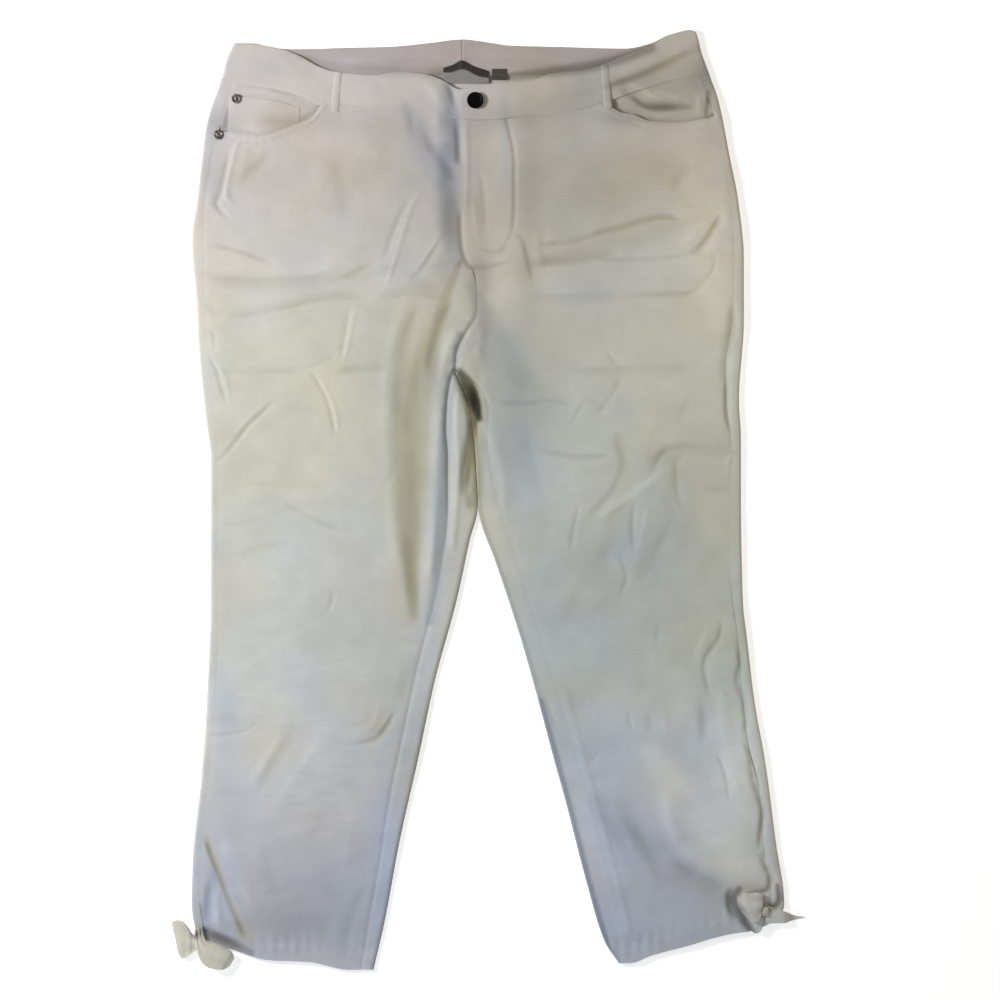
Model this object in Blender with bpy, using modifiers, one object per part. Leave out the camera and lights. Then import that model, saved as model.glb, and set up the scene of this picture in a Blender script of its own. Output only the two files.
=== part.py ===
"""Cropped five-pocket trousers, lying flat with the front up.

+Y runs from the hems to the waist, -X is the wearer's right and +Z is up.  Every cloth piece
is a grid laid over one height field, which Solidify gives its wall.  Sizes are millimetres
until grid_mesh and the other makers turn them into the scene's metres.
"""
import math

import bpy
import bmesh

MM = 0.001

# Driving dimensions
CLOTH_WALL = 1.1
BAND_WALL = 2.0
COIN_WALL = 1.0
LOOP_WALL = 1.2
LABEL_WALL = 1.0
TIE_WALL = 1.2
SEAM_GAP = 0.3
LAYER_GAP = 0.3
BAND_HEIGHT = 36.0
LEG_LIE = 4.4
EDGE_RISE = 0.8
EDGE_REACH = 24.0
LOWEST_LIE = 2.4
BAND_LIE = 5.3
TAB_LIE = 6.4
UNDERLAP_LIE = 3.9
FLY_DROP = 1.5
FACING_LIE = 3.6
FACING_DROP = 2.85
FACING_CLIMB = 0.03
COIN_LIFT = 1.4
FACING_TUCK = 10.0
COIN_TUCK = 8.0
COIN_SIDE = 3.0
LOOP_WIDTH = 8.5
LOOP_GAP = 0.45
LOOP_STEP = (-3.5, -0.5)
BUTTON_DIAMETER = 17.0
BUTTON_HEIGHT = 4.2
RIVET_DIAMETER = 9.6
RIVET_HEIGHT = 1.6
TIE_LIFT = 6.5
TIE_CLEAR = 1.0
TIE_FALL = 10.0
TIE_INNER_GAP = 1.4
KNOT_FLAT = 0.6
LOBE_ROUND = 1.2

# Outlines of the lying legs, rows of (height along the leg, x)
RIGHT_OUTER = [
    (-451, -291), (-443, -299), (-412, -304.5), (-371, -303.5), (-288, -295), (-206, -289),
    (-103, -285), (41, -285), (83, -290), (165, -298), (206, -300), (268, -304.5), (309, -299),
    (350, -294), (378, -290.5), (402, -285), (433, -273.5), (453, -268.5), (471, -260),
]
LEFT_OUTER = [
    (-435, 291), (-423, 302.5), (-412, 305.5), (-350, 297), (-268, 286), (-206, 275),
    (-144, 267.5), (-103, 263), (0, 261), (62, 261), (103, 259), (185, 264), (247, 264),
    (309, 258), (350, 250), (412, 237.5), (433, 230), (461, 220), (476, 216), (483, 209),
]
RIGHT_INNER = [
    (-483, -117), (-433, -105.5), (-350, -90), (-268, -71.5), (-186, -54), (-103, -31.5),
    (-41, -18), (-8, -10), (31, -11.5), (62, -13.5), (90, -18), (108, -24), (120, -28.5), (133, -33),
]
LEFT_INNER = [
    (-476, 134.5), (-453, 120), (-392, 101.5), (-309, 80), (-268, 68.5), (-206, 52), (-144, 34.5),
    (-62, 7.5), (-21, -7.5), (-8, -9.6), (31, -11.1), (62, -13.1), (90, -17.6), (108, -23.6),
    (120, -28.1), (133, -32.6),
]
# Seams that show on top, rows of (height, x)
RIGHT_OUTSEAM = [
    (-451, -289), (-412, -296), (-371, -295), (-288, -287), (-206, -280.5), (-103, -276.5),
    (41, -276.5), (124, -284), (206, -291), (288, -292), (330, -287), (360, -281.5),
    (378, -276.5), (402, -271.5), (423, -264), (435, -258),
]
LEFT_OUTSEAM = [
    (-437, 288), (-400, 292), (-371, 286), (-299, 280), (-243, 267), (-150, 258), (-62, 248.5),
    (53, 251), (101, 246.5), (137, 245.5), (186, 252), (247, 254), (309, 250), (361, 241.5),
    (394, 232.5), (417, 226), (437, 219),
]
RIGHT_INSEAM = [
    (-480, -129.5), (-417, -119), (-371, -110.5), (-324, -103.5), (-242, -87), (-170, -71.5),
    (-93, -52), (-11, -40.5), (45, -40.5), (71, -42.5), (98, -41.5), (125, -37.5), (133, -33.5),
]
LEFT_INSEAM = [
    (-470, 144.5), (-415, 133.5), (-328, 110.5), (-228, 81), (-153, 58), (-80, 35.5),
    (-31, 20), (27, 4.5), (62, 0.5), (90, 1.5), (110, -3.5), (124, -18), (133, -31.5),
]
CROTCH_SEAM = [(133, -33), (152, -31.5), (172, -22), (194, -10.5), (217, -11), (239, -15)]
FLY_EDGE = [(239, -15), (256, -22), (278, -26.5), (345, -27.5), (391, -27.5)]
BACK_SEAM = [(128, -31), (140, -29.5), (165, -26.5), (200, -26.5), (474, -26.5)]

# Edges that run across, rows of (x, height)
RIGHT_HEM = [
    (-300, -441), (-297, -446), (-291, -451), (-259, -463.5), (-224, -473), (-183, -475),
    (-141, -483), (-116, -483),
]
LEFT_HEM = [
    (134, -476), (147, -476), (168, -468.5), (208, -457.5), (229, -451), (250, -446),
    (270, -443), (291, -434.5), (299, -428), (304, -421),
]
BACK_TOP = [
    (-261, 470.5), (-240, 470), (-224, 466), (-203, 464), (-141, 465.5), (-100, 466.5),
    (-59, 470.5), (-26.5, 474), (2, 470.5), (23, 467.5), (65, 466.5), (141, 464.5),
    (167, 469.5), (188, 479), (209, 483), (216, 476),
]
RIGHT_BAND_TOP = [
    (-261, 470.5), (-240, 468.5), (-210, 463), (-193, 456.5), (-172, 445), (-155, 440),
    (-116, 437), (-90, 440), (-65, 438), (-48, 432.5), (-27, 422), (8, 420),
]
LEFT_BAND_TOP = [
    (-27.5, 421.5), (-1.5, 426.5), (47, 431.5), (64, 438), (100, 442), (117, 447), (140, 456.5),
    (168, 466.5), (188, 478), (209, 483), (216, 476),
]
RIGHT_BAND_SEAM = [
    (-272, 434), (-266, 433.5), (-259.7, 431), (-250, 426), (-229, 424), (-203, 419),
    (-188, 414), (-172, 405.5), (-151, 406), (-118, 403), (-81, 401.5), (-51, 399.5),
    (-28, 391), (8, 391),
]
LEFT_BAND_SEAM = [
    (-28, 390.5), (0, 390.5), (33, 393.5), (88, 398.5), (114, 406), (136, 414), (157, 421.5),
    (194, 432), (218.8, 436.4), (230, 436.6),
]
RIGHT_MOUTH = [
    (-277, 378), (-258, 378), (-247, 376), (-232, 374), (-206, 383), (-181, 393), (-172, 405),
]
LEFT_MOUTH = [
    (118, 407.5), (126, 404), (137, 398), (149, 396), (166, 389.5), (194, 387.5), (220, 391),
    (233, 394),
]
COIN_TOP = [(-266, 414.5), (-255, 414), (-224, 411), (-193, 404)]

LABEL_TOP = [(-45.5, 444.5), (-36, 447.5), (-26.5, 452), (-15, 446.5), (1.5, 441)]
LABEL_BOTTOM = 428.5
TAG_CORNERS = ((4.5, 432.0), (19.5, 443.5))
BUTTON_PLACE = (-12.5, 410.0)
COIN_RIVET = (-258.0, 412.0)
POCKET_RIVET = (-276.5, 375.0)
RIVET_GAP = 0.5

# Largest folds: start, middle, end, depth (negative is a trough) and half width
FOLDS = [
    ((-33, 216), (-72, 165), (-80, 110), -1.4, 17),
    ((-80, 120), (-81, 20), (-72, -125), -2.0, 17),
    ((-104, 110), (-106, 60), (-104, 5), 0.8, 14),
    ((-153, 228), (-100, 266), (-64, 322), -1.2, 15),
    ((-277, 226), (-215, 226), (-153, 230), -0.9, 15),
    ((-287, -352), (-264, -408), (-248, -455), -1.6, 16),
    ((45, 257), (118, 270), (195, 290), -1.3, 15),
    ((41, 211), (168, 211), (236, 240), -1.1, 16),
    ((-5, 193), (40, 138), (86, 96), -1.4, 17),
    ((52, 50), (92, 46), (132, 46), -1.3, 16),
    ((134, 98), (145, 25), (108, -15), -1.7, 17),
    ((161, -338), (206, -382), (244, -396), -1.7, 16),
    ((240, -128), (223, -170), (230, -205), -0.9, 16),
    ((-15, 58), (-17, 92), (-25, 124), -2.0, 12),
]
MOUTH_RISE = 1.9
MOUTH_REACH = 26.0
POCKET_ZONE = 300.0

# Where the lie changes round the fly, as starts and ends of ramps
PLACKET_Y = (285.0, 340.0)
PLACKET_RIGHT_X = (-60.0, -40.0)
PLACKET_LEFT_X = (60.0, 30.0)
UNDERLAP_X = (-52.0, -36.0)
UNDERLAP_Y = (205.0, 236.0)
TAB_X = (8.0, 40.0)

# Columns of the two fronts along their top edges, and of the bands beyond them
RIGHT_TOP_X = [-277, -258, -232, -206, -184, -172, -146, -115, -83, -52, -38, -27, -15]
LEFT_TOP_X = [-27.5, -15, 4, 30, 59, 88, 118, 137, 152, 172, 194, 214, 233.5]
RIGHT_FACING_X = [-259.7, -250, -236, -218, -203, -188, -172, -160]
LEFT_FACING_X = [106, 118, 137, 152, 170, 188, 206, 218.8]

# How many rows each stretch of a panel has, and the heights that part the stretches
LOWER_ROWS = 13
THIGH_ROWS = 13
HIP_ROWS = 15
POCKET_ROWS = 4
KNEE_HEIGHT = -95.0
CROTCH_HEIGHT = 129.0
CROTCH_TURN = (4.0, 8.0, 12.0)
JUNCTION_RISE = 4.5
BACK_HALF = 240.0
RIGHT_SIDE_BAND = (434.0, 469.5)
LEFT_SIDE_BAND = (436.6, 477.0)
ROLL_STEPS = 5
RUN_STEPS = 4
RIGHT_MOUTH_SIDE = 378.0
LEFT_MOUTH_SIDE = 394.0

# Back panel above the crotch: its fold flattens out to the back seam over these insets
FOLD_INSET = 1.5
TURN_LEAD = 6.0
FLAT_LEAD = 8.0
LEAST_TURN = 0.05
HEM_CORNER_X = 298.0

CREAM = (0.70, 0.68, 0.62, 1.0)
WARM_CREAM = (0.66, 0.61, 0.50, 1.0)
LABEL_WHITE = (0.74, 0.74, 0.72, 1.0)
TAG_GREY = (0.16, 0.14, 0.12, 1.0)
BUTTON_METAL = (0.05, 0.05, 0.06, 1.0)
RIVET_SILVER = (0.45, 0.43, 0.40, 1.0)


def secant(rows, i):
    return (rows[i + 1][1] - rows[i][1]) / (rows[i + 1][0] - rows[i][0])


def slope(rows, i):
    """Slope at a row that keeps the curve between its neighbours."""
    if i == 0:
        return secant(rows, 0)
    if i == len(rows) - 1:
        return secant(rows, i - 1)
    before, after = secant(rows, i - 1), secant(rows, i)
    if before * after <= 0:
        return 0.0
    return 2 * before * after / (before + after)


def curve(rows, at):
    """Smooth curve through (place, value) rows whose places rise, held level past its ends."""
    if at <= rows[0][0]:
        return rows[0][1]
    if at >= rows[-1][0]:
        return rows[-1][1]
    i = max(k for k in range(len(rows) - 1) if rows[k][0] <= at)
    span = rows[i + 1][0] - rows[i][0]
    t = (at - rows[i][0]) / span
    start, end = rows[i][1], rows[i + 1][1]
    bend_in = slope(rows, i) * span
    bend_out = slope(rows, i + 1) * span
    return (
        start * (1 + 2 * t) * (1 - t) ** 2
        + bend_in * t * (1 - t) ** 2
        + end * t * t * (3 - 2 * t)
        + bend_out * t * t * (t - 1)
    )


def blend(a, b, t):
    return a + (b - a) * t


def ramp(value, start, end):
    """0 before start and 1 after end, with a soft step between them."""
    t = min(1.0, max(0.0, (value - start) / (end - start)))
    return t * t * (3 - 2 * t)


def beside(seam, y, way):
    """The seam's x at a height, moved half a seam gap aside, square to the seam."""
    lean = (curve(seam, y + 1) - curve(seam, y - 1)) / 2
    return curve(seam, y) + way * SEAM_GAP / 2 * math.sqrt(1 + lean * lean)


def steps(start, end, count):
    return [blend(start, end, i / count) for i in range(count + 1)]


def stretch_distance(x, y, start, end):
    """Distance to one straight stretch and how far along it the nearest point lies."""
    dx, dy = end[0] - start[0], end[1] - start[1]
    along = ((x - start[0]) * dx + (y - start[1]) * dy) / (dx * dx + dy * dy)
    along = min(1.0, max(0.0, along))
    return math.hypot(x - start[0] - dx * along, y - start[1] - dy * along), along


def fold_height(x, y):
    total = 0.0
    for start, middle, end, depth, half_width in FOLDS:
        first, t_first = stretch_distance(x, y, start, middle)
        second, t_second = stretch_distance(x, y, middle, end)
        near, along = (first, t_first / 2) if first < second else (second, 0.5 + t_second / 2)
        fade = min(1.0, 0.35 + 2.6 * math.sin(math.pi * along))
        total += depth * fade * math.exp(-((near / half_width) ** 2))
    return total


def mouth_distance(x, y, mouth):
    stretches = zip(mouth[:-1], mouth[1:])
    return min(stretch_distance(x, y, a, b)[0] for a, b in stretches)


def lie(x, y):
    """Height of the top layer's middle surface over the floor."""
    outer = x - curve(RIGHT_OUTER, y) if x < BACK_SEAM[-1][1] else curve(LEFT_OUTER, y) - x
    height = LEG_LIE + EDGE_RISE * math.exp(-((max(outer, 0) / EDGE_REACH) ** 2))
    height += fold_height(x, y)
    if y > POCKET_ZONE:
        mouth = RIGHT_MOUTH[1:] if x < 0 else LEFT_MOUTH
        near = mouth_distance(x, y, mouth)
        height += MOUTH_RISE * math.exp(-((near / MOUTH_REACH) ** 2))
    placket = ramp(x, *PLACKET_RIGHT_X) * ramp(x, *PLACKET_LEFT_X) * ramp(y, *PLACKET_Y)
    return max(LOWEST_LIE, blend(height, BAND_LIE, placket))


def underlap(x, y):
    """Share of the fly's drop at a place on the wearer's right front."""
    return ramp(x, *UNDERLAP_X) * ramp(y, *UNDERLAP_Y)


def right_lie(x, y):
    return lie(x, y) - FLY_DROP * underlap(x, y)


def facing_lie(x, y, mouth):
    edge = curve(mouth, x)
    under_front = lie(x, min(y, edge)) - FACING_DROP
    return min(FACING_LIE, under_front) + FACING_CLIMB * max(0.0, y - edge)


def band_lie_right(x):
    return blend(BAND_LIE, UNDERLAP_LIE, ramp(x, *UNDERLAP_X))


def band_lie_left(x):
    return blend(TAB_LIE, BAND_LIE, ramp(x, *TAB_X))


# ---------------------------------------------------------------- makers

def cloth_material(name, colour, roughness, metallic=0.0):
    material = bpy.data.materials.new(name)
    material.use_nodes = True
    shader = material.node_tree.nodes["Principled BSDF"]
    shader.inputs["Base Color"].default_value = colour
    shader.inputs["Roughness"].default_value = roughness
    shader.inputs["Metallic"].default_value = metallic
    return material


def finish(name, mesh, colour, roughness=0.85, metallic=0.0):
    piece = bpy.data.objects.new(name, mesh)
    mesh.materials.append(cloth_material(name + "_finish", colour, roughness, metallic))
    PARTS.objects.link(piece)
    return piece


def add_wall(piece, wall):
    solidify = piece.modifiers.new("wall", "SOLIDIFY")
    solidify.thickness = wall * MM
    solidify.offset = 0.0
    solidify.use_even_offset = True
    return piece


def grid_mesh(name, grid):
    """Mesh of a grid of (x, y, z) rows, with its faces turned up or out."""
    mesh = bpy.data.meshes.new(name)
    bm = bmesh.new()
    rows = [[bm.verts.new([c * MM for c in point]) for point in row] for row in grid]
    for lower, upper in zip(rows[:-1], rows[1:]):
        for i in range(len(lower) - 1):
            bm.faces.new((lower[i], lower[i + 1], upper[i + 1], upper[i]))
    bm.to_mesh(mesh)
    bm.free()
    mesh.shade_smooth()
    return mesh


def make_cloth(name, grid, wall, colour=CREAM):
    return add_wall(finish(name, grid_mesh(name, grid), colour), wall)


# ---------------------------------------------------------------- panels

def row_heights(hem, crotch, top):
    """Heights of the rows along one edge, close together over the thigh and hip."""
    lower = steps(hem, KNEE_HEIGHT, LOWER_ROWS)
    thigh = steps(KNEE_HEIGHT, crotch, THIGH_ROWS)
    hip = steps(crotch + JUNCTION_RISE, top, HIP_ROWS - 1)
    return lower + thigh[1:] + hip


def front_panel(name, outseam, inseam, fly, top_edge, top_x, hem, outer_index, height):
    """A front from hem to waist seam and pocket mouth.

    top_x lists the columns' places along the top edge, and outer_index is the column list's
    end that lies on the outseam: 0 for the wearer's right front and -1 for the left one.
    """
    inner_index = -1 - outer_index
    sign = -1 if outer_index == 0 else 1
    hem_outer = curve(hem, curve(outseam, outseam[0][0]))
    hem_inner = curve(hem, curve(inseam, inseam[0][0]))
    outer_y = row_heights(hem_outer, CROTCH_HEIGHT, top_edge(top_x[outer_index]))
    inner_y = row_heights(hem_inner, CROTCH_HEIGHT, top_edge(top_x[inner_index]))
    centre = CROTCH_SEAM[:-1] + fly
    last = len(outer_y) - 1
    top_x = list(top_x)
    top_x[outer_index] = beside(outseam, outer_y[-1], -sign)
    share = [(x - top_x[0]) / (top_x[-1] - top_x[0]) for x in top_x]
    grid = []
    for i, (yo, yi) in enumerate(zip(outer_y, inner_y)):
        x_outer = beside(outseam, yo, -sign)
        x_inner = beside(inseam if yi < CROTCH_HEIGHT + 0.1 else centre, yi, sign)
        x_inner = top_x[inner_index] if i == last else x_inner
        ends = (x_outer, yo, x_inner, yi) if outer_index == 0 else (x_inner, yi, x_outer, yo)
        grid.append(front_row(ends, share, i / last, hem, top_edge, outer_y, inner_y, outer_index, top_x))
    grid = [[(x, y, height(x, y)) for x, y in row] for row in grid]
    return make_cloth(name, grid, CLOTH_WALL)


def front_row(ends, share, up, hem, top_edge, outer_y, inner_y, outer_index, top_x):
    """One row of a front, straight in plan but for its share of the hem's and top's curves."""
    first_y, last_y = (outer_y, inner_y) if outer_index == 0 else (inner_y, outer_y)
    row = []
    for s, x_top in zip(share, top_x):
        x = blend(ends[0], ends[2], s)
        hem_bow = curve(hem, x) - blend(first_y[0], last_y[0], s)
        top_bow = top_edge(x_top) - blend(first_y[-1], last_y[-1], s)
        y = blend(ends[1], ends[3], s)
        y += hem_bow * (1 - up) ** 3 + top_bow * up ** 3
        row.append((x, y))
    return row


def roll_point(edge_x, sign, radius, low, turn):
    """A place on the roll at a side fold: turn 0 is on the floor and 1 on top."""
    angle = math.pi * turn
    wall_middle = edge_x - sign * low
    x = wall_middle - sign * radius * (1 - math.sin(angle))
    return x, low + radius * (1 - math.cos(angle))


def roll_radius(edge_x, sign, low, y, height):
    radius = 2.0
    for _ in range(3):
        radius = (height(edge_x - sign * (low + radius), y) - low) / 2
    return radius


def side_columns(edge_x, seam_x, sign, low, y, height):
    """Points from the floor round a side fold and over the top to the seam there."""
    radius = roll_radius(edge_x, sign, low, y, height)
    points = [roll_point(edge_x, sign, radius, low, t) for t in steps(0, 1, ROLL_STEPS)]
    middle = (points[-1][0] + seam_x) / 2
    points.append((middle, height(middle, y)))
    points.append((seam_x, height(seam_x, y)))
    return points


def back_rows(outseam, hem_y, mouth_y, waist_y, crotch, inner_hem_y, inner_waist_y):
    outer = row_heights(hem_y, crotch, mouth_y)
    outer += steps(mouth_y, waist_y, POCKET_ROWS)[1:]
    lower = steps(inner_hem_y, KNEE_HEIGHT, LOWER_ROWS)
    thigh = steps(KNEE_HEIGHT, crotch, THIGH_ROWS)
    turn = [crotch + rise for rise in CROTCH_TURN]
    above = HIP_ROWS + POCKET_ROWS - len(turn)
    hip = steps(turn[-1], inner_waist_y, above)
    return outer, lower + thigh[1:] + turn + hip[1:]


def inner_columns(i, y, crotch_row, inner, inseam, sign, height):
    """The last columns of a back row: round the leg's inner fold, or flat to the back seam."""
    low = CLOTH_WALL / 2
    edge_x = curve(inner, min(y, CROTCH_HEIGHT))
    seam_x = beside(inseam, y, -sign)
    if i <= crotch_row:
        return side_columns(edge_x, seam_x, -sign, low, y, height)
    turned = i - crotch_row
    count = ROLL_STEPS + 3
    if turned > len(CROTCH_TURN):
        start = edge_x + sign * (low + FOLD_INSET + FLAT_LEAD)
        end = curve(BACK_SEAM, y) + sign * SEAM_GAP / 2
        return [(x, low) for x in steps(start, end, count - 1)]
    left_over = 1 - turned / len(CROTCH_TURN)
    radius = roll_radius(edge_x, -sign, low, CROTCH_HEIGHT, height)
    reach = left_over / 2 + LEAST_TURN
    points = [roll_point(edge_x, -sign, radius, low, t) for t in steps(0, reach, ROLL_STEPS)]
    lead = steps(points[0][0] + sign * TURN_LEAD * (1 - left_over), points[0][0], 2)[:-1]
    return [(x, low) for x in lead] + points


def back_panel(name, outer, outseam, inner, inseam, hem, waist, mouth_y, sign, height):
    """A back, from the outseam on top round the side, along the floor and up to the inseam."""
    low = CLOTH_WALL / 2
    hem_outer = curve(hem, curve(outseam, outseam[0][0]))
    hem_inner = curve(hem, curve(inseam, inseam[0][0]))
    waist_y = side_seam_height(waist, outseam) - SEAM_GAP / 2
    inner_waist_y = back_seam_height(BACK_SEAM[-1][1]) - SEAM_GAP / 2
    outer_y, inner_y = back_rows(
        outseam, hem_outer, mouth_y, waist_y, CROTCH_HEIGHT, hem_inner, inner_waist_y
    )
    last = len(outer_y) - 1
    crotch_row = LOWER_ROWS + THIGH_ROWS
    grid = []
    for i, (yo, yi) in enumerate(zip(outer_y, inner_y)):
        seam_x = beside(outseam, yo, sign)
        up = i / last
        edge_y = yo + (1 - up) ** 3 * (curve(hem, sign * HEM_CORNER_X) - hem_outer) / 2
        outside = side_columns(curve(outer, edge_y), seam_x, sign, low, yo, height)
        near_waist = max(0.0, (yo - mouth_y) / (waist_y - mouth_y)) ** 2
        inside = inner_columns(i, yi, crotch_row, inner, inseam, sign, height)
        run = steps(outside[0][0], inside[0][0], RUN_STEPS)[1:-1]
        rises = [near_waist * (curve(waist, x) - curve(waist, seam_x)) for x, z in outside]
        row = [(x, yo + rise, z) for (x, z), rise in reversed(list(zip(outside, rises)))]
        for k, x in enumerate(run):
            s = (k + 1) / RUN_STEPS
            flat_y = blend(outer_y[0], inner_y[0], s)
            bow = (curve(hem, x) - flat_y) * (1 - up) ** 3
            waist_rise = near_waist * (back_seam_height(x) - SEAM_GAP / 2 - blend(yo, yi, s))
            row.append((x, blend(yo, yi, s) + bow + waist_rise, low))
        row += [(x, yi, z) for x, z in inside]
        if i == 0:
            row = [(x, curve(hem, x), z) for x, y, z in row]
        grid.append(row if sign < 0 else row[::-1])
    return make_cloth(name, grid, CLOTH_WALL)


def side_seam_height(waist, outseam):
    """Height at which the outseam meets the waistband's seam."""
    height = outseam[-1][0]
    for _ in range(6):
        height = curve(waist, curve(outseam, height))
    return height


def pocket_facing(name, mouth, band_seam, columns, outseam, sign):
    """Cloth seen in a pocket mouth, tucked under the front along the mouth."""
    grid = []
    for s in steps(0, 1, 3):
        row = []
        for x in columns:
            y = blend(curve(mouth, x) - FACING_TUCK, band_seam(x) - SEAM_GAP / 2, s)
            limit = curve(outseam, y) - sign * SEAM_GAP / 2
            if abs(x - columns[0 if sign < 0 else -1]) < 0.01:
                x = limit
            row.append((x, y, facing_lie(x, y, mouth)))
        grid.append(row)
    return make_cloth(name, grid, CLOTH_WALL)


def coin_pocket():
    """Small pocket on the wearer's right facing, its lower part under the front."""
    grid = []
    for s in steps(0, 1, 4):
        row = []
        for i, x in enumerate(steps(COIN_TOP[0][0], COIN_TOP[-1][0], 6)):
            y = blend(curve(RIGHT_MOUTH, x) - COIN_TUCK, curve(COIN_TOP, x), s)
            x = max(x, curve(RIGHT_OUTSEAM, y) + COIN_SIDE) if i == 0 else x
            row.append((x, y, facing_lie(x, y, RIGHT_MOUTH) + COIN_LIFT))
        grid.append(row)
    return make_cloth("coin_pocket", grid, COIN_WALL)


# ---------------------------------------------------------------- waistband

def waistband(name, outer, band_top, band_seam, front_x, level, sign):
    """Half the waistband, from the centre back on the floor round the side to the front."""
    low = BAND_WALL / 2
    side_low, side_top = RIGHT_SIDE_BAND if sign < 0 else LEFT_SIDE_BAND

    def height(x, y):
        return level(x)

    grid = []
    low_edge = curve(outer, side_low)
    for v in steps(0, 1, 3):
        side_y = blend(side_low + SEAM_GAP / 2, side_top, v)
        edge_x = curve(outer, side_y)
        lean = edge_x - low_edge
        front = [x + lean * max(0.0, x / low_edge) ** 3 for x in front_x]
        around = side_columns(edge_x, front[0], sign, low, side_y, height)
        back_end = curve(BACK_SEAM, side_y) + sign * SEAM_GAP / 2
        row = []
        for x in steps(back_end, around[0][0], 9)[:-1]:
            top = curve(BACK_TOP, x)
            row.append((x, blend(back_seam_height(x) + SEAM_GAP / 2, top, v), low))
        row += [(x, side_y, z) for x, z in around[:-2]]
        for x in [around[-2][0]] + front:
            y = blend(band_seam(x) + SEAM_GAP / 2, curve(band_top, x), v)
            row.append((x, y, level(x)))
        grid.append(row if sign > 0 else row[::-1])
    return make_cloth(name, grid, BAND_WALL)


def back_seam_height(x):
    """Height of the waistband's lower seam behind."""
    centre = curve(BACK_TOP, BACK_SEAM[-1][1]) - BAND_HEIGHT
    side = RIGHT_SIDE_BAND[0] if x < 0 else LEFT_SIDE_BAND[0]
    return blend(centre, side, min(1.0, abs(x - BACK_SEAM[-1][1]) / BACK_HALF))


# ---------------------------------------------------------------- small pieces

def belt_loop(name, top, bottom, level):
    """A strap across the front waistband, down to the panel below its seam."""
    grid = []
    for s in steps(0, 1, 8):
        cx, cy = blend(bottom[0], top[0], s), blend(bottom[1], top[1], s)
        row = []
        for side in (-0.5, 0.0, 0.5):
            x = cx + side * LOOP_WIDTH
            row.append((x, cy, level(x, cy)))
        grid.append(row)
    return make_cloth(name, grid, LOOP_WALL)


def loop_level(band, seam):
    lift = BAND_WALL / 2 + LOOP_GAP + LOOP_WALL / 2
    panel_lift = CLOTH_WALL / 2 + LOOP_GAP + LOOP_WALL / 2

    def level(x, y):
        on_band = band(x) + lift
        on_panel = lie(x, y) + panel_lift
        return blend(on_panel, max(on_band, on_panel), ramp(y - seam(x), *LOOP_STEP))

    return level


def turned(name, place, base, profile, colour, roughness, metallic, segments=24):
    """A turned piece from (radius, height) rows that run from the top's middle down and in."""
    mesh = bpy.data.meshes.new(name)
    bm = bmesh.new()
    verts = [bm.verts.new((r * MM, 0, z * MM)) for r, z in profile]
    for a, b in zip(verts[:-1], verts[1:]):
        bm.edges.new((a, b))
    bm.to_mesh(mesh)
    bm.free()
    piece = finish(name, mesh, colour, roughness, metallic)
    piece.location = (place[0] * MM, place[1] * MM, base * MM)
    screw = piece.modifiers.new("turn", "SCREW")
    screw.steps = segments
    screw.render_steps = segments
    screw.use_merge_vertices = True
    screw.merge_threshold = 0.00001
    return piece


def button():
    r = BUTTON_DIAMETER / 2
    profile = [
        (0, BUTTON_HEIGHT - 0.6), (r * 0.45, BUTTON_HEIGHT - 0.5), (r * 0.6, BUTTON_HEIGHT - 0.1),
        (r * 0.8, BUTTON_HEIGHT), (r * 0.95, BUTTON_HEIGHT - 0.5), (r, BUTTON_HEIGHT - 1.3),
        (r * 0.93, BUTTON_HEIGHT - 2.1), (r * 0.4, BUTTON_HEIGHT - 2.3), (r * 0.33, 0.5),
        (r * 0.45, 0), (0, 0),
    ]
    base = TAB_LIE + BAND_WALL / 2 + LAYER_GAP
    return turned("button", BUTTON_PLACE, base, profile, BUTTON_METAL, 0.35, 1.0, 28)


def rivet(name, place, base):
    r = RIVET_DIAMETER / 2
    h = RIVET_HEIGHT
    profile = [
        (0, h * 0.75), (r * 0.25, h * 0.7), (r * 0.4, h * 0.55), (r * 0.6, h * 0.9),
        (r * 0.8, h), (r, h * 0.45), (r, 0), (0, 0),
    ]
    return turned(name, place, base, profile, RIVET_SILVER, 0.4, 1.0)


def label():
    """Blank woven label inside the back waistband."""
    base = BAND_WALL + LAYER_GAP + LABEL_WALL / 2
    grid = []
    for v in steps(0, 1, 2):
        row = []
        for x in steps(LABEL_TOP[0][0], LABEL_TOP[-1][0], 6):
            bottom = max(LABEL_BOTTOM, curve(RIGHT_BAND_TOP, x) + 1.0)
            row.append((x, blend(bottom, curve(LABEL_TOP, x), v), base))
        grid.append(row)
    return make_cloth("label", grid, LABEL_WALL, LABEL_WHITE)


def size_tag():
    base = BAND_WALL + LAYER_GAP + LABEL_WALL / 2
    grid = []
    (left, bottom), (right, top) = TAG_CORNERS
    for y in (bottom, top):
        grid.append([(x, y, base) for x in steps(left, right, 2)])
    return make_cloth("size_tag", grid, LABEL_WALL, TAG_GREY)


# ---------------------------------------------------------------- hem ties

def outside_right(x, y):
    return max(curve(RIGHT_OUTER, y) - x, curve(RIGHT_HEM, x) - y)


def outside_left(x, y):
    return max(x - curve(LEFT_OUTER, y), curve(LEFT_HEM, x) - y)


def tie_floor(x, y, outside):
    """Height that a tie lies on: the leg's top inside its outline, the floor well outside."""
    return TIE_LIFT * (1 - ramp(outside(x, y), TIE_CLEAR, TIE_FALL))


def lobe_place(spine, along):
    """Place, width and sideways direction at a share of a lobe's spine."""
    last = len(spine) - 1
    rows = [[(i / last, row[k]) for i, row in enumerate(spine)] for k in range(3)]
    x, y, width = (curve(r, along) for r in rows)
    step = 0.02
    dx = curve(rows[0], along + step) - curve(rows[0], along - step)
    dy = curve(rows[1], along + step) - curve(rows[1], along - step)
    size = math.hypot(dx, dy) or 1.0
    return x, y, width, (-dy / size, dx / size)


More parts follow.
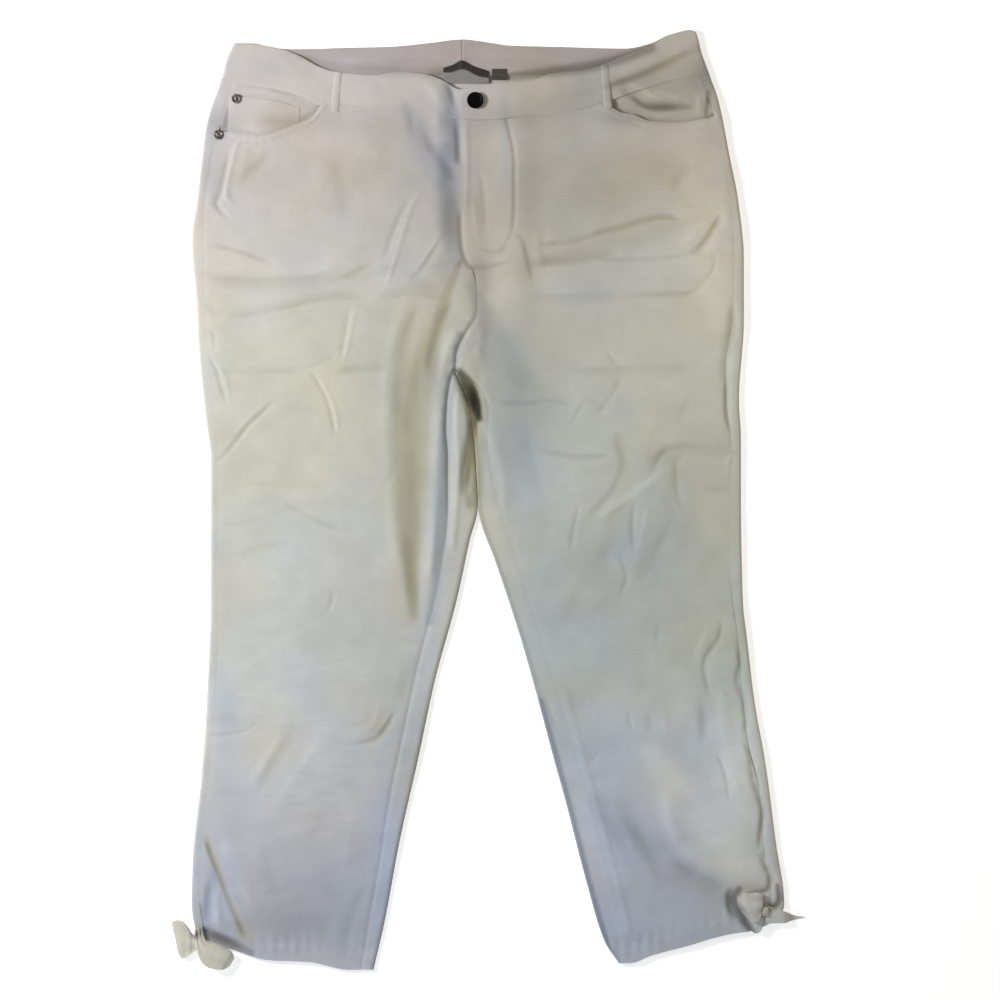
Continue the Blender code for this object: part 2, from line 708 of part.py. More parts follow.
def lobe_profile(puff, close):
    """(share along the spine, height) from the knot along the floor, round the tip and back."""
    out = [(t, 0.0) for t in (0, 0.2, 0.4, 0.6, 0.8, 0.93)]
    rise = close / 2
    tip = [(0.98, rise * 0.35), (1.0, rise), (0.98, rise * 1.75)]
    back = []
    for t in (0.93, 0.8, 0.6, 0.4, 0.2, 0):
        back.append((t, close + puff * math.sin(math.pi * min(1, t * 1.05)) ** 0.8))
    return out + tip + back


def tie_loop(name, spine, puff, outside):
    """A bow's loop: a strip that runs out from the knot, turns over and comes back on top."""
    close = TIE_WALL + TIE_INNER_GAP
    grid = []
    for along, height in lobe_profile(puff, close):
        x, y, width, across = lobe_place(spine, along)
        floor = max(tie_floor(x + across[0] * width * s, y + across[1] * width * s, outside)
                    for s in (-0.5, 0, 0.5))
        row = []
        for side in steps(-0.5, 0.5, 4):
            px, py = x + across[0] * width * side, y + across[1] * width * side
            soft = height * (1 - LOBE_ROUND * side * side) if height > close else height
            row.append((px, py, floor + TIE_WALL / 2 + soft))
        grid.append(row)
    return make_cloth(name, grid, TIE_WALL, WARM_CREAM)


def tie_end(name, spine, outside):
    """A tie's loose end, one layer thick, over the hem and down to the floor."""
    grid = []
    for along in steps(0, 1, 8):
        x, y, width, across = lobe_place(spine, along)
        floor = max(tie_floor(x + across[0] * width * s, y + across[1] * width * s, outside)
                    for s in (-0.5, 0, 0.5))
        row = []
        for side in (-0.5, 0.0, 0.5):
            row.append((x + across[0] * width * side, y + across[1] * width * side, floor + TIE_WALL / 2))
        grid.append(row)
    return make_cloth(name, grid, TIE_WALL, WARM_CREAM)


def tie_knot(name, place, radii, base):
    """The lump where the strips cross, flat below."""
    mesh = bpy.data.meshes.new(name)
    bm = bmesh.new()
    bmesh.ops.create_uvsphere(bm, u_segments=14, v_segments=8, radius=1.0)
    for vert in bm.verts:
        share = (max(vert.co.z, -KNOT_FLAT) + KNOT_FLAT) / (1 + KNOT_FLAT)
        vert.co = [c * r * MM for c, r in zip((vert.co.x, vert.co.y, share), radii)]
    bmesh.ops.dissolve_degenerate(bm, dist=0.00001, edges=bm.edges)
    bm.to_mesh(mesh)
    bm.free()
    piece = finish(name, mesh, WARM_CREAM)
    piece.location = (place[0] * MM, place[1] * MM, base * MM)
    return piece


def make_ties():
    tie_knot("tie_right_knot", (-298.5, -457.0), (4.6, 5.6, 8.0), 0.0)
    tie_loop(
        "tie_right_upper",
        [(-308.5, -458.5, 15), (-313, -453.5, 22), (-318, -445, 16), (-323, -436.5, 8)],
        2.6, outside_right,
    )
    tie_loop(
        "tie_right_lower",
        [(-296, -440, 9), (-290, -452, 13), (-282, -463, 20), (-272, -471, 24), (-265, -475, 16)],
        2.0, outside_right,
    )
    tie_knot("tie_left_knot", (288.0, -423.0), (4.2, 4.6, 6.0), TIE_LIFT)
    tie_loop(
        "tie_left_loop",
        [(281.5, -417, 20), (276, -416.5, 29), (268, -416, 29), (260, -410, 14)],
        3.0, outside_left,
    )
    tie_end("tie_left_end", [(283, -429.5, 6), (280, -437, 10), (277.5, -443.5, 7)], outside_left)
    tie_end(
        "tie_left_tail",
        [(294, -424, 13), (302, -427, 12), (312, -429.5, 8), (326.5, -429, 2)], outside_left,
    )


# ---------------------------------------------------------------- the trousers

def right_top_edge(x):
    if x < RIGHT_MOUTH[-1][0]:
        return curve(RIGHT_MOUTH, x)
    return curve(RIGHT_BAND_SEAM, x) - SEAM_GAP / 2


def left_top_edge(x):
    if x > LEFT_MOUTH[0][0]:
        return curve(LEFT_MOUTH, x)
    return curve(LEFT_BAND_SEAM, x) - SEAM_GAP / 2


def right_band_seam(x):
    return curve(RIGHT_BAND_SEAM, x)


def left_band_seam(x):
    return curve(LEFT_BAND_SEAM, x)


def make_panels():
    right_fly = [(239, -15), (391, -15)]
    front_panel(
        "front_right", RIGHT_OUTSEAM, RIGHT_INSEAM, right_fly, right_top_edge, RIGHT_TOP_X,
        RIGHT_HEM, 0, right_lie,
    )
    front_panel(
        "front_left", LEFT_OUTSEAM, LEFT_INSEAM, FLY_EDGE, left_top_edge, LEFT_TOP_X,
        LEFT_HEM, -1, lie,
    )
    back_panel(
        "back_right", RIGHT_OUTER, RIGHT_OUTSEAM, RIGHT_INNER, RIGHT_INSEAM, RIGHT_HEM,
        RIGHT_BAND_SEAM, RIGHT_MOUTH_SIDE, -1, lie,
    )
    back_panel(
        "back_left", LEFT_OUTER, LEFT_OUTSEAM, LEFT_INNER, LEFT_INSEAM, LEFT_HEM,
        LEFT_BAND_SEAM, LEFT_MOUTH_SIDE, 1, lie,
    )


def make_waist():
    right_x = RIGHT_FACING_X[:6] + RIGHT_TOP_X[5:] + [0, 8]
    left_x = LEFT_FACING_X[:3:-1] + LEFT_TOP_X[8::-1]
    waistband(
        "waistband_right", RIGHT_OUTER, RIGHT_BAND_TOP, right_band_seam, right_x, band_lie_right, -1
    )
    waistband(
        "waistband_left", LEFT_OUTER, LEFT_BAND_TOP, left_band_seam, left_x, band_lie_left, 1
    )
    pocket_facing(
        "pocket_facing_right", RIGHT_MOUTH, right_band_seam, RIGHT_FACING_X, RIGHT_OUTSEAM, -1
    )
    pocket_facing(
        "pocket_facing_left", LEFT_MOUTH, left_band_seam, LEFT_FACING_X, LEFT_OUTSEAM, 1
    )
    coin_pocket()


def make_trim():
    belt_loop(
        "belt_loop_right", (-153.5, 439.5), (-156.5, 398.5), loop_level(band_lie_right, right_band_seam)
    )
    belt_loop(
        "belt_loop_left", (120.5, 447.0), (124, 400.5), loop_level(band_lie_left, left_band_seam)
    )
    button()
    coin_top = facing_lie(*COIN_RIVET, RIGHT_MOUTH) + COIN_LIFT + COIN_WALL / 2
    rivet("rivet_coin", COIN_RIVET, coin_top + RIVET_GAP)
    inner_x = POCKET_RIVET[0] + RIVET_DIAMETER / 2
    rivet("rivet_pocket", POCKET_RIVET, lie(inner_x, POCKET_RIVET[1]) + CLOTH_WALL / 2 + RIVET_GAP)
    label()
    size_tag()


for old in list(bpy.data.objects):
    bpy.data.objects.remove(old, do_unlink=True)
PARTS = bpy.data.collections.new("capri_trousers")
bpy.context.scene.collection.children.link(PARTS)

make_panels()
make_waist()
make_trim()
make_ties()
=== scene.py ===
"""Cropped trousers lying flat: finished cloth, stitching, trims, floor, light and camera.

+Y runs from the hems to the waist, -X is the wearer's right and +Z is up.  Tables hold
millimetres, and the makers turn them into the scene's metres.
"""
import math

import bpy
import numpy as np
from mathutils import Matrix, Vector


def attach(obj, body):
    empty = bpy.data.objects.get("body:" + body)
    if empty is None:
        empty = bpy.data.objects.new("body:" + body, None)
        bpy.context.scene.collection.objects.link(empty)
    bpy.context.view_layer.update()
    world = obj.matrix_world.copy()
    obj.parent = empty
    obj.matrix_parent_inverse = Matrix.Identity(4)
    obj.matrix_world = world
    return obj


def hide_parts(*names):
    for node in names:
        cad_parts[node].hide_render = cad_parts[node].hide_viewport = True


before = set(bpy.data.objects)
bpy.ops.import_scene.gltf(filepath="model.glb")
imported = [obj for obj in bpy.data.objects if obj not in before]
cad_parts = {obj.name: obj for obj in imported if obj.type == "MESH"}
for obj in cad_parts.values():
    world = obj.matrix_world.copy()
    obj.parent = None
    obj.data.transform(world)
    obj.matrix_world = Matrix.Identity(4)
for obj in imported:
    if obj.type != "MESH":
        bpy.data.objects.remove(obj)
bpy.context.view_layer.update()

MM = 0.001

# ---------------------------------------------------------------- sizes

CLOTH_WALL = 0.9
BAND_WALL = 2.0
COIN_WALL = 0.7
LOOP_WALL = 0.55
LABEL_WALL = 0.9
TIE_WALL = 1.1
SEAM_GAP = 0.04
BAND_HEIGHT = 36.0
LEG_LIE = 4.7
EDGE_RISE = 0.9
EDGE_REACH = 24.0
LOWEST_LIE = 2.0
LIE_SOFTNESS = 0.35
BAND_LIE = 5.3
TAB_LIE = 6.4
UNDERLAP_LIE = 3.9
FLY_DROP = 1.5
FACING_LIE = 3.6
FACING_DROP = 2.85
FACING_CLIMB = 0.03
COIN_LIFT = 1.4
FACING_TUCK = 10.0
COIN_TUCK = 8.0
COIN_SIDE = 3.0
MOUTH_RISE = 1.9
MOUTH_REACH = 26.0
POCKET_ZONE = 300.0
FLOOR_MID = 0.55
LOOP_WIDTH = 8.5
LOOP_GAP = 0.02
LOOP_STEP = (-3.5, -0.5)
TIE_LIFT = 6.9
TIE_CLEAR = 1.0
TIE_FALL = 10.0
TIE_INNER_GAP = 1.4
LOBE_ROUND = 1.2

# Where the lie changes round the fly, as starts and ends of ramps
PLACKET_Y = (285.0, 340.0)
PLACKET_RIGHT_X = (-60.0, -40.0)
PLACKET_LEFT_X = (60.0, 30.0)
UNDERLAP_X = (-52.0, -36.0)
UNDERLAP_Y = (205.0, 236.0)
TAB_X = (8.0, 40.0)

# Fineness of the sheets: columns over a front, rows over each stretch of a panel, and how many
# of them the underside of a front skips at a time
FRONT_COLUMNS = 165
LOWER_ROWS = 219
THIGH_ROWS = 129
HIP_ROWS = 162
UNDER_STEP = 3
POCKET_ROWS = 22
KNEE_HEIGHT = -95.0
CROTCH_HEIGHT = 129.0
CROTCH_TURN = 12.0
TURN_ROWS = 5
BACK_HALF = 240.0
RIGHT_SIDE_BAND = (434.0, 469.5)
LEFT_SIDE_BAND = (436.6, 477.0)
RIGHT_MOUTH_SIDE = 378.0
LEFT_MOUTH_SIDE = 394.0
HEM_CORNER_X = 298.0
ROLL_STEPS = 8
RUN_STEPS = 12

# Hem turn-up, fly facing and edge stitching
TURN_UP = 18.5
TURN_UP_RISE = 0.55
STITCH_PITCH = 3.4
STITCH_LENGTH = 2.9
STITCH_WIDTH = 0.55
STITCH_SINK = 0.12
STITCH_DIVE = 0.22
LOOP_PITCH = 2.9
BAND_STITCH = 2.4
BAR_ROWS = (-0.45, 0.0, 0.45)
TAB_STITCH = [(-24.8, 394), (-24.8, 418)]

# ---------------------------------------------------------------- outlines
# Outlines of the lying legs, rows of (height along the leg, x)
RIGHT_OUTER = [
    (-451, -291), (-443, -299), (-412, -304.5), (-371, -303.5), (-288, -295), (-206, -289),
    (-103, -285), (41, -285), (83, -290), (165, -298), (206, -300), (268, -304.5), (309, -299),
    (350, -294), (378, -290.5), (402, -285), (433, -273.5), (453, -268.5), (471, -260),
]
LEFT_OUTER = [
    (-435, 291), (-423, 302.5), (-412, 305.5), (-350, 297), (-268, 286), (-206, 275),
    (-144, 267.5), (-103, 263), (0, 261), (62, 261), (103, 259), (185, 264), (247, 264),
    (309, 258), (350, 250), (412, 237.5), (433, 230), (461, 220), (476, 216), (483, 209),
]
RIGHT_INNER = [
    (-483, -117), (-433, -105.5), (-350, -90), (-268, -71.5), (-186, -54), (-103, -31.5),
    (-41, -18), (-8, -10), (31, -11.5), (62, -13.5), (90, -18), (108, -24), (120, -28.5),
    (133, -33),
]
LEFT_INNER = [
    (-476, 134.5), (-453, 120), (-392, 101.5), (-309, 80), (-268, 68.5), (-206, 52),
    (-144, 34.5), (-62, 7.5), (-21, -7.5), (-8, -9.9), (31, -11.55), (62, -13.55), (90, -18.05),
    (108, -24.05), (120, -28.55), (133, -33.05),
]
# Seams that show on top, rows of (height, x)
RIGHT_OUTSEAM = [
    (-451, -289), (-412, -296), (-371, -295), (-288, -287), (-206, -280.5), (-103, -276.5),
    (41, -276.5), (124, -284), (206, -291), (288, -292), (330, -287), (360, -281.5),
    (378, -276.5), (402, -271.5), (423, -264), (435, -258),
]
LEFT_OUTSEAM = [
    (-437, 288), (-400, 292), (-371, 286), (-299, 280), (-243, 267), (-150, 258), (-62, 248.5),
    (53, 251), (101, 246.5), (137, 245.5), (186, 252), (247, 254), (309, 250), (361, 241.5),
    (394, 232.5), (417, 226), (437, 219),
]
RIGHT_INSEAM = [
    (-480, -129.5), (-417, -119), (-371, -110.5), (-324, -103.5), (-242, -87), (-170, -71.5),
    (-93, -52), (-11, -40.5), (45, -40.5), (71, -42.5), (98, -41.5), (125, -37.5), (133, -33.5),
]
LEFT_INSEAM = [
    (-470, 144.5), (-415, 133.5), (-328, 110.5), (-228, 81), (-153, 58), (-80, 35.5),
    (-31, 20), (27, 4.5), (62, 0.5), (90, 1.5), (110, -3.5), (124, -18), (133, -31.5),
]
CROTCH_SEAM = [(133, -33), (152, -31.5), (172, -22), (194, -10.5), (217, -11), (239, -15)]
FLY_EDGE = [(239, -15), (256, -22), (278, -26.5), (345, -27.5), (391, -27.5)]
RIGHT_FLY = [(239, -15), (391, -15)]
BACK_SEAM = [(128, -31), (140, -29.5), (165, -26.5), (200, -26.5), (474, -26.5)]
BACK_SEAM_X = -26.5

# Edges that run across, rows of (x, height)
RIGHT_HEM = [
    (-300, -441), (-297, -446), (-291, -451), (-259, -463.5), (-224, -473), (-183, -475),
    (-141, -483), (-116, -483),
]
LEFT_HEM = [
    (134, -476), (147, -476), (168, -468.5), (208, -457.5), (229, -451), (250, -446),
    (270, -443), (291, -434.5), (299, -428), (304, -421),
]
BACK_TOP = [
    (-261, 470.5), (-240, 470), (-224, 466), (-203, 464), (-141, 465.5), (-100, 466.5),
    (-59, 470.5), (-26.5, 474), (2, 470.5), (23, 467.5), (65, 466.5), (141, 464.5),
    (167, 469.5), (188, 479), (209, 483), (216, 476),
]
RIGHT_BAND_TOP = [
    (-261, 470.5), (-240, 468.5), (-210, 463), (-193, 456.5), (-172, 445), (-155, 440),
    (-116, 437), (-90, 440), (-65, 438), (-48, 432.5), (-27, 422), (8, 420),
]
LEFT_BAND_TOP = [
    (-27.5, 421.5), (-1.5, 426.5), (47, 431.5), (64, 438), (100, 442), (117, 447),
    (140, 456.5), (168, 466.5), (188, 478), (209, 483), (216, 476),
]
RIGHT_BAND_SEAM = [
    (-272, 434), (-266, 433.5), (-259.7, 431), (-250, 426), (-229, 424), (-203, 419),
    (-188, 414), (-172, 405.5), (-151, 406), (-118, 403), (-81, 401.5), (-51, 399.5),
    (-28, 391), (8, 391),
]
LEFT_BAND_SEAM = [
    (-28, 390.5), (0, 390.5), (33, 393.5), (88, 398.5), (114, 406), (136, 414), (157, 421.5),
    (194, 432), (218.8, 436.4), (230, 436.6),
]
RIGHT_MOUTH = [
    (-277, 378), (-258, 378), (-247, 376), (-232, 374), (-206, 383), (-181, 393), (-172, 405),
]
LEFT_MOUTH = [
    (118, 407.5), (126, 404), (137, 398), (149, 396), (166, 389.5), (194, 387.5), (220, 391),
    (233, 394),
]
COIN_TOP = [(-266, 414.5), (-255, 414), (-224, 411), (-193, 404)]
LABEL_TOP = [(-45.5, 444.5), (-36, 447.5), (-26.5, 452), (-15, 446.5), (1.5, 441)]
LABEL_BOTTOM = 428.5
TAG_CORNERS = ((4.5, 432.0), (19.5, 443.5))
BUTTON_PLACE = (-12.5, 410)
COIN_RIVET = (-258, 412)
POCKET_RIVET = (-276.5, 375)
# Belt loops, each from its top to its foot
RIGHT_LOOP = ((-153.5, 439.5), (-156.5, 398.5))
LEFT_LOOP = ((120.5, 447.0), (124, 400.5))
FLY_STITCH = [
    (17, 402), (24, 374), (28, 346), (28, 307), (26.5, 283), (18, 262), (3, 249), (-13, 241.5),
]

# ---------------------------------------------------------------- creases
# Depth (a ridge is positive), width of the side towards the light, width of the other side,
# and the places that the crease runs through
RIGHT_CREASES = [
    # the deep fold down the inner thigh and the ridges beside it
    (-0.9, 7, 10, [(-57, 210), (-74, 190), (-84, 163), (-88, 132), (-90, 101), (-90, 62), (-88, 21),
                   (-86, -26), (-81, -62), (-77, -103), (-75, -129)]),
    (-0.9, 10, 7, [(-37, 206), (-53, 187), (-65, 163), (-72, 134), (-74, 101), (-75, 62), (-75, 21),
                   (-73, -26), (-74, -72), (-73, -103), (-73, -126)]),
    (-0.6, 6, 6, [(-80, 113), (-81, 88), (-80, 62)]),
    (-0.7, 7, 7, [(-82, -21), (-79, -62), (-75, -103)]),
    (0.6, 7, 7, [(-86, 196), (-98, 160), (-104, 118), (-104, 72), (-101, 21), (-97, -31),
                 (-91, -82)]),
    (-1, 5, 4, [(-29, 208), (-42, 192), (-51, 171), (-58, 148), (-62, 126)]),
    (1.6, 7, 6, [(-27, 183), (-39, 160), (-47, 129), (-50, 93), (-50, 52), (-52, 0), (-56, -46),
                 (-60, -93)]),
    (0.5, 4, 5, [(-49, 196), (-59, 175), (-65, 152)]),
    # beside the fly
    (1.1, 8, 6, [(-58, 431), (-53, 412), (-51, 393), (-47, 377)]),
    (-2.2, 3.4, 3.2, [(-37, 433), (-33, 412), (-31, 386), (-30, 366), (-29, 342)]),
    (-1.6, 5, 7, [(-70, 385), (-60, 369), (-48, 352), (-36, 335), (-28, 319)]),
    (-1.5, 10, 5, [(-39, 334), (-33, 309), (-31, 280), (-29, 249)]),
    (-0.7, 3, 4, [(-81, 415), (-79, 397), (-77, 375)]),
    (-0.5, 2.4, 3, [(-57, 236), (-46, 243), (-32, 245)]),
    # whiskers across the hip
    (0.55, 2.4, 2.6, [(-64, 323), (-77, 303), (-85, 280), (-93, 255), (-99, 235), (-106, 212)]),
    (-0.7, 3.4, 2.4, [(-79, 310), (-88, 295), (-95, 278), (-101, 261), (-107, 245)]),
    (0.5, 2.6, 2.6, [(-44, 280), (-56, 261), (-66, 245), (-76, 231)]),
    (-0.8, 2.4, 3.2, [(-46, 270), (-58, 251), (-68, 237), (-80, 224)]),
    (-0.95, 2.3, 9, [(-294, 228), (-255, 227), (-209, 227), (-173, 229), (-146, 230)]),
    (-0.9, 2.4, 4, [(-154, 227), (-140, 232), (-127, 239), (-111, 246)]),
    (0.5, 6, 3, [(-293, 238), (-245, 237), (-193, 237), (-142, 239)]),
    (-1.2, 2.4, 2.8, [(-284, 263), (-265, 259), (-247, 254), (-230, 247), (-218, 244)]),
    (-1.2, 7, 2.3, [(-273, 187), (-236, 191), (-205, 197), (-177, 204), (-147, 208), (-117, 206)]),
    (-1.1, 8, 2.5, [(-117, 204), (-98, 209), (-72, 212), (-51, 208), (-32, 205)]),
    (-0.8, 7, 4, [(-88, 216), (-72, 222), (-57, 219), (-41, 210)]),
    # below the pocket, at the side
    (1, 2.8, 3.4, [(-254, 373), (-260, 358), (-264, 342), (-268, 325), (-269, 314), (-264, 306),
                   (-257, 300)]),
    (-1, 3.4, 2.6, [(-265, 358), (-269, 338), (-273, 319), (-278, 305), (-273, 296), (-264, 287)]),
    (0.6, 8, 7, [(-245, 368), (-252, 350), (-257, 334)]),
    (-1.1, 5, 7, [(-220, 363), (-232, 348), (-245, 336), (-259, 322)]),
    (-0.8, 9, 12, [(-162, 369), (-153, 340), (-146, 309), (-140, 280)]),
    (0.4, 10, 10, [(-181, 366), (-173, 330), (-166, 294)]),
    (0.4, 10, 12, [(-123, 381), (-117, 345), (-111, 309)]),
    # folds left by storage, and the small creases that cross them
    (-0.6, 4, 2.2, [(-141, 202), (-144, 183), (-147, 163), (-150, 142)]),
    (0.45, 2.2, 2.4, [(-135, 200), (-140, 175), (-145, 152), (-149, 138)]),
    (-0.7, 5, 2.3, [(-284, 130), (-245, 131), (-203, 131), (-183, 134)]),
    (-0.6, 3, 2.4, [(-193, 132), (-177, 138), (-164, 144), (-154, 148)]),
    (-1, 6, 2.4, [(-164, 127), (-147, 131), (-123, 133), (-90, 134)]),
    (-0.85, 2.6, 2.2, [(-184, 134), (-175, 122), (-166, 106), (-160, 87), (-156, 64)]),
    (0.5, 2.2, 2.2, [(-174, 126), (-163, 108), (-156, 89), (-153, 70)]),
    (-0.9, 2.4, 2.6, [(-218, 103), (-232, 89), (-245, 77), (-257, 62), (-267, 49), (-283, 36)]),
    (0.3, 3, 3, [(-224, 103), (-245, 84), (-263, 63)]),
    (-0.35, 2.4, 4, [(-193, 48), (-162, 48), (-126, 47)]),
    (-0.4, 2.4, 3.4, [(-255, 18), (-226, 16), (-193, 13), (-147, 15)]),
    (-0.45, 3, 4, [(-109, 11), (-100, 23), (-92, 41)]),
    (-0.8, 2.4, 2.6, [(-214, 2), (-195, -10), (-173, -22), (-152, -30), (-127, -35)]),
    (-0.45, 2.4, 3, [(-283, -18), (-259, -25), (-232, -22)]),
    (-0.5, 2.2, 2.2, [(-269, 10), (-258, 7), (-248, -4)]),
    (-0.4, 4, 5, [(-260, -64), (-232, -49), (-193, -45)]),
    (-0.5, 2.4, 2.6, [(-161, -88), (-159, -101), (-166, -118)]),
    (-0.5, 2.6, 2.4, [(-294, 175), (-283, 174), (-280, 163), (-282, 150)]),
    (-0.8, 2.4, 2.2, [(-287, 150), (-279, 134), (-273, 116), (-268, 98)]),
    (0.4, 2.2, 2.2, [(-278, 144), (-270, 126), (-264, 105)]),
    (-0.5, 5, 6, [(-291, 206), (-282, 196), (-276, 185)]),
    # shin and hem
    (-0.5, 8, 6, [(-76, -160), (-82, -185), (-92, -211), (-100, -229)]),
    (-1.2, 2.8, 4, [(-93, -214), (-104, -234), (-117, -247), (-142, -252)]),
    (0.5, 4, 4, [(-111, -206), (-115, -227), (-129, -241), (-157, -247)]),
    (-0.4, 2.4, 3, [(-162, -237), (-145, -233), (-117, -229)]),
    (-0.5, 2.4, 2.8, [(-292, -243), (-267, -241), (-249, -237), (-234, -227)]),
    (-0.9, 6, 8, [(-202, -221), (-201, -242), (-213, -260), (-224, -280), (-238, -309)]),
    (0.6, 5, 6, [(-213, -229), (-216, -249), (-228, -268), (-245, -299)]),
    (0.5, 6, 7, [(-162, -242), (-187, -268), (-208, -299), (-224, -330)]),
    (-0.35, 6, 6, [(-162, -309), (-175, -340), (-193, -371)]),
    (0.35, 7, 8, [(-140, -309), (-142, -350), (-154, -391)]),
    (-2, 3, 3.6, [(-290, -346), (-282, -368), (-273, -390), (-265, -412), (-257, -431),
                  (-245, -455)]),
    (-1.8, 4.6, 4.4, [(-286, -389), (-286, -408), (-289, -424), (-290, -443)]),
    (1.8, 5, 5, [(-277, -393), (-279, -412), (-277, -431), (-265, -441)]),
    (-3, 5, 5, [(-292, -441), (-278, -449), (-261, -457), (-243, -465)]),
    (0.8, 6, 7, [(-273, -336), (-259, -369), (-248, -402), (-237, -435)]),
    (-0.35, 6, 6, [(-232, -340), (-224, -381), (-215, -420)]),
    (-0.35, 2.4, 7, [(-228, -402), (-197, -401), (-162, -404)]),
    (-0.8, 7, 5, [(-123, -391), (-134, -417), (-143, -443), (-144, -476)]),
    (0.4, 5, 5, [(-154, -427), (-158, -453), (-156, -472)]),
    (-0.4, 2.4, 3, [(-294, -273), (-273, -271)]),
]
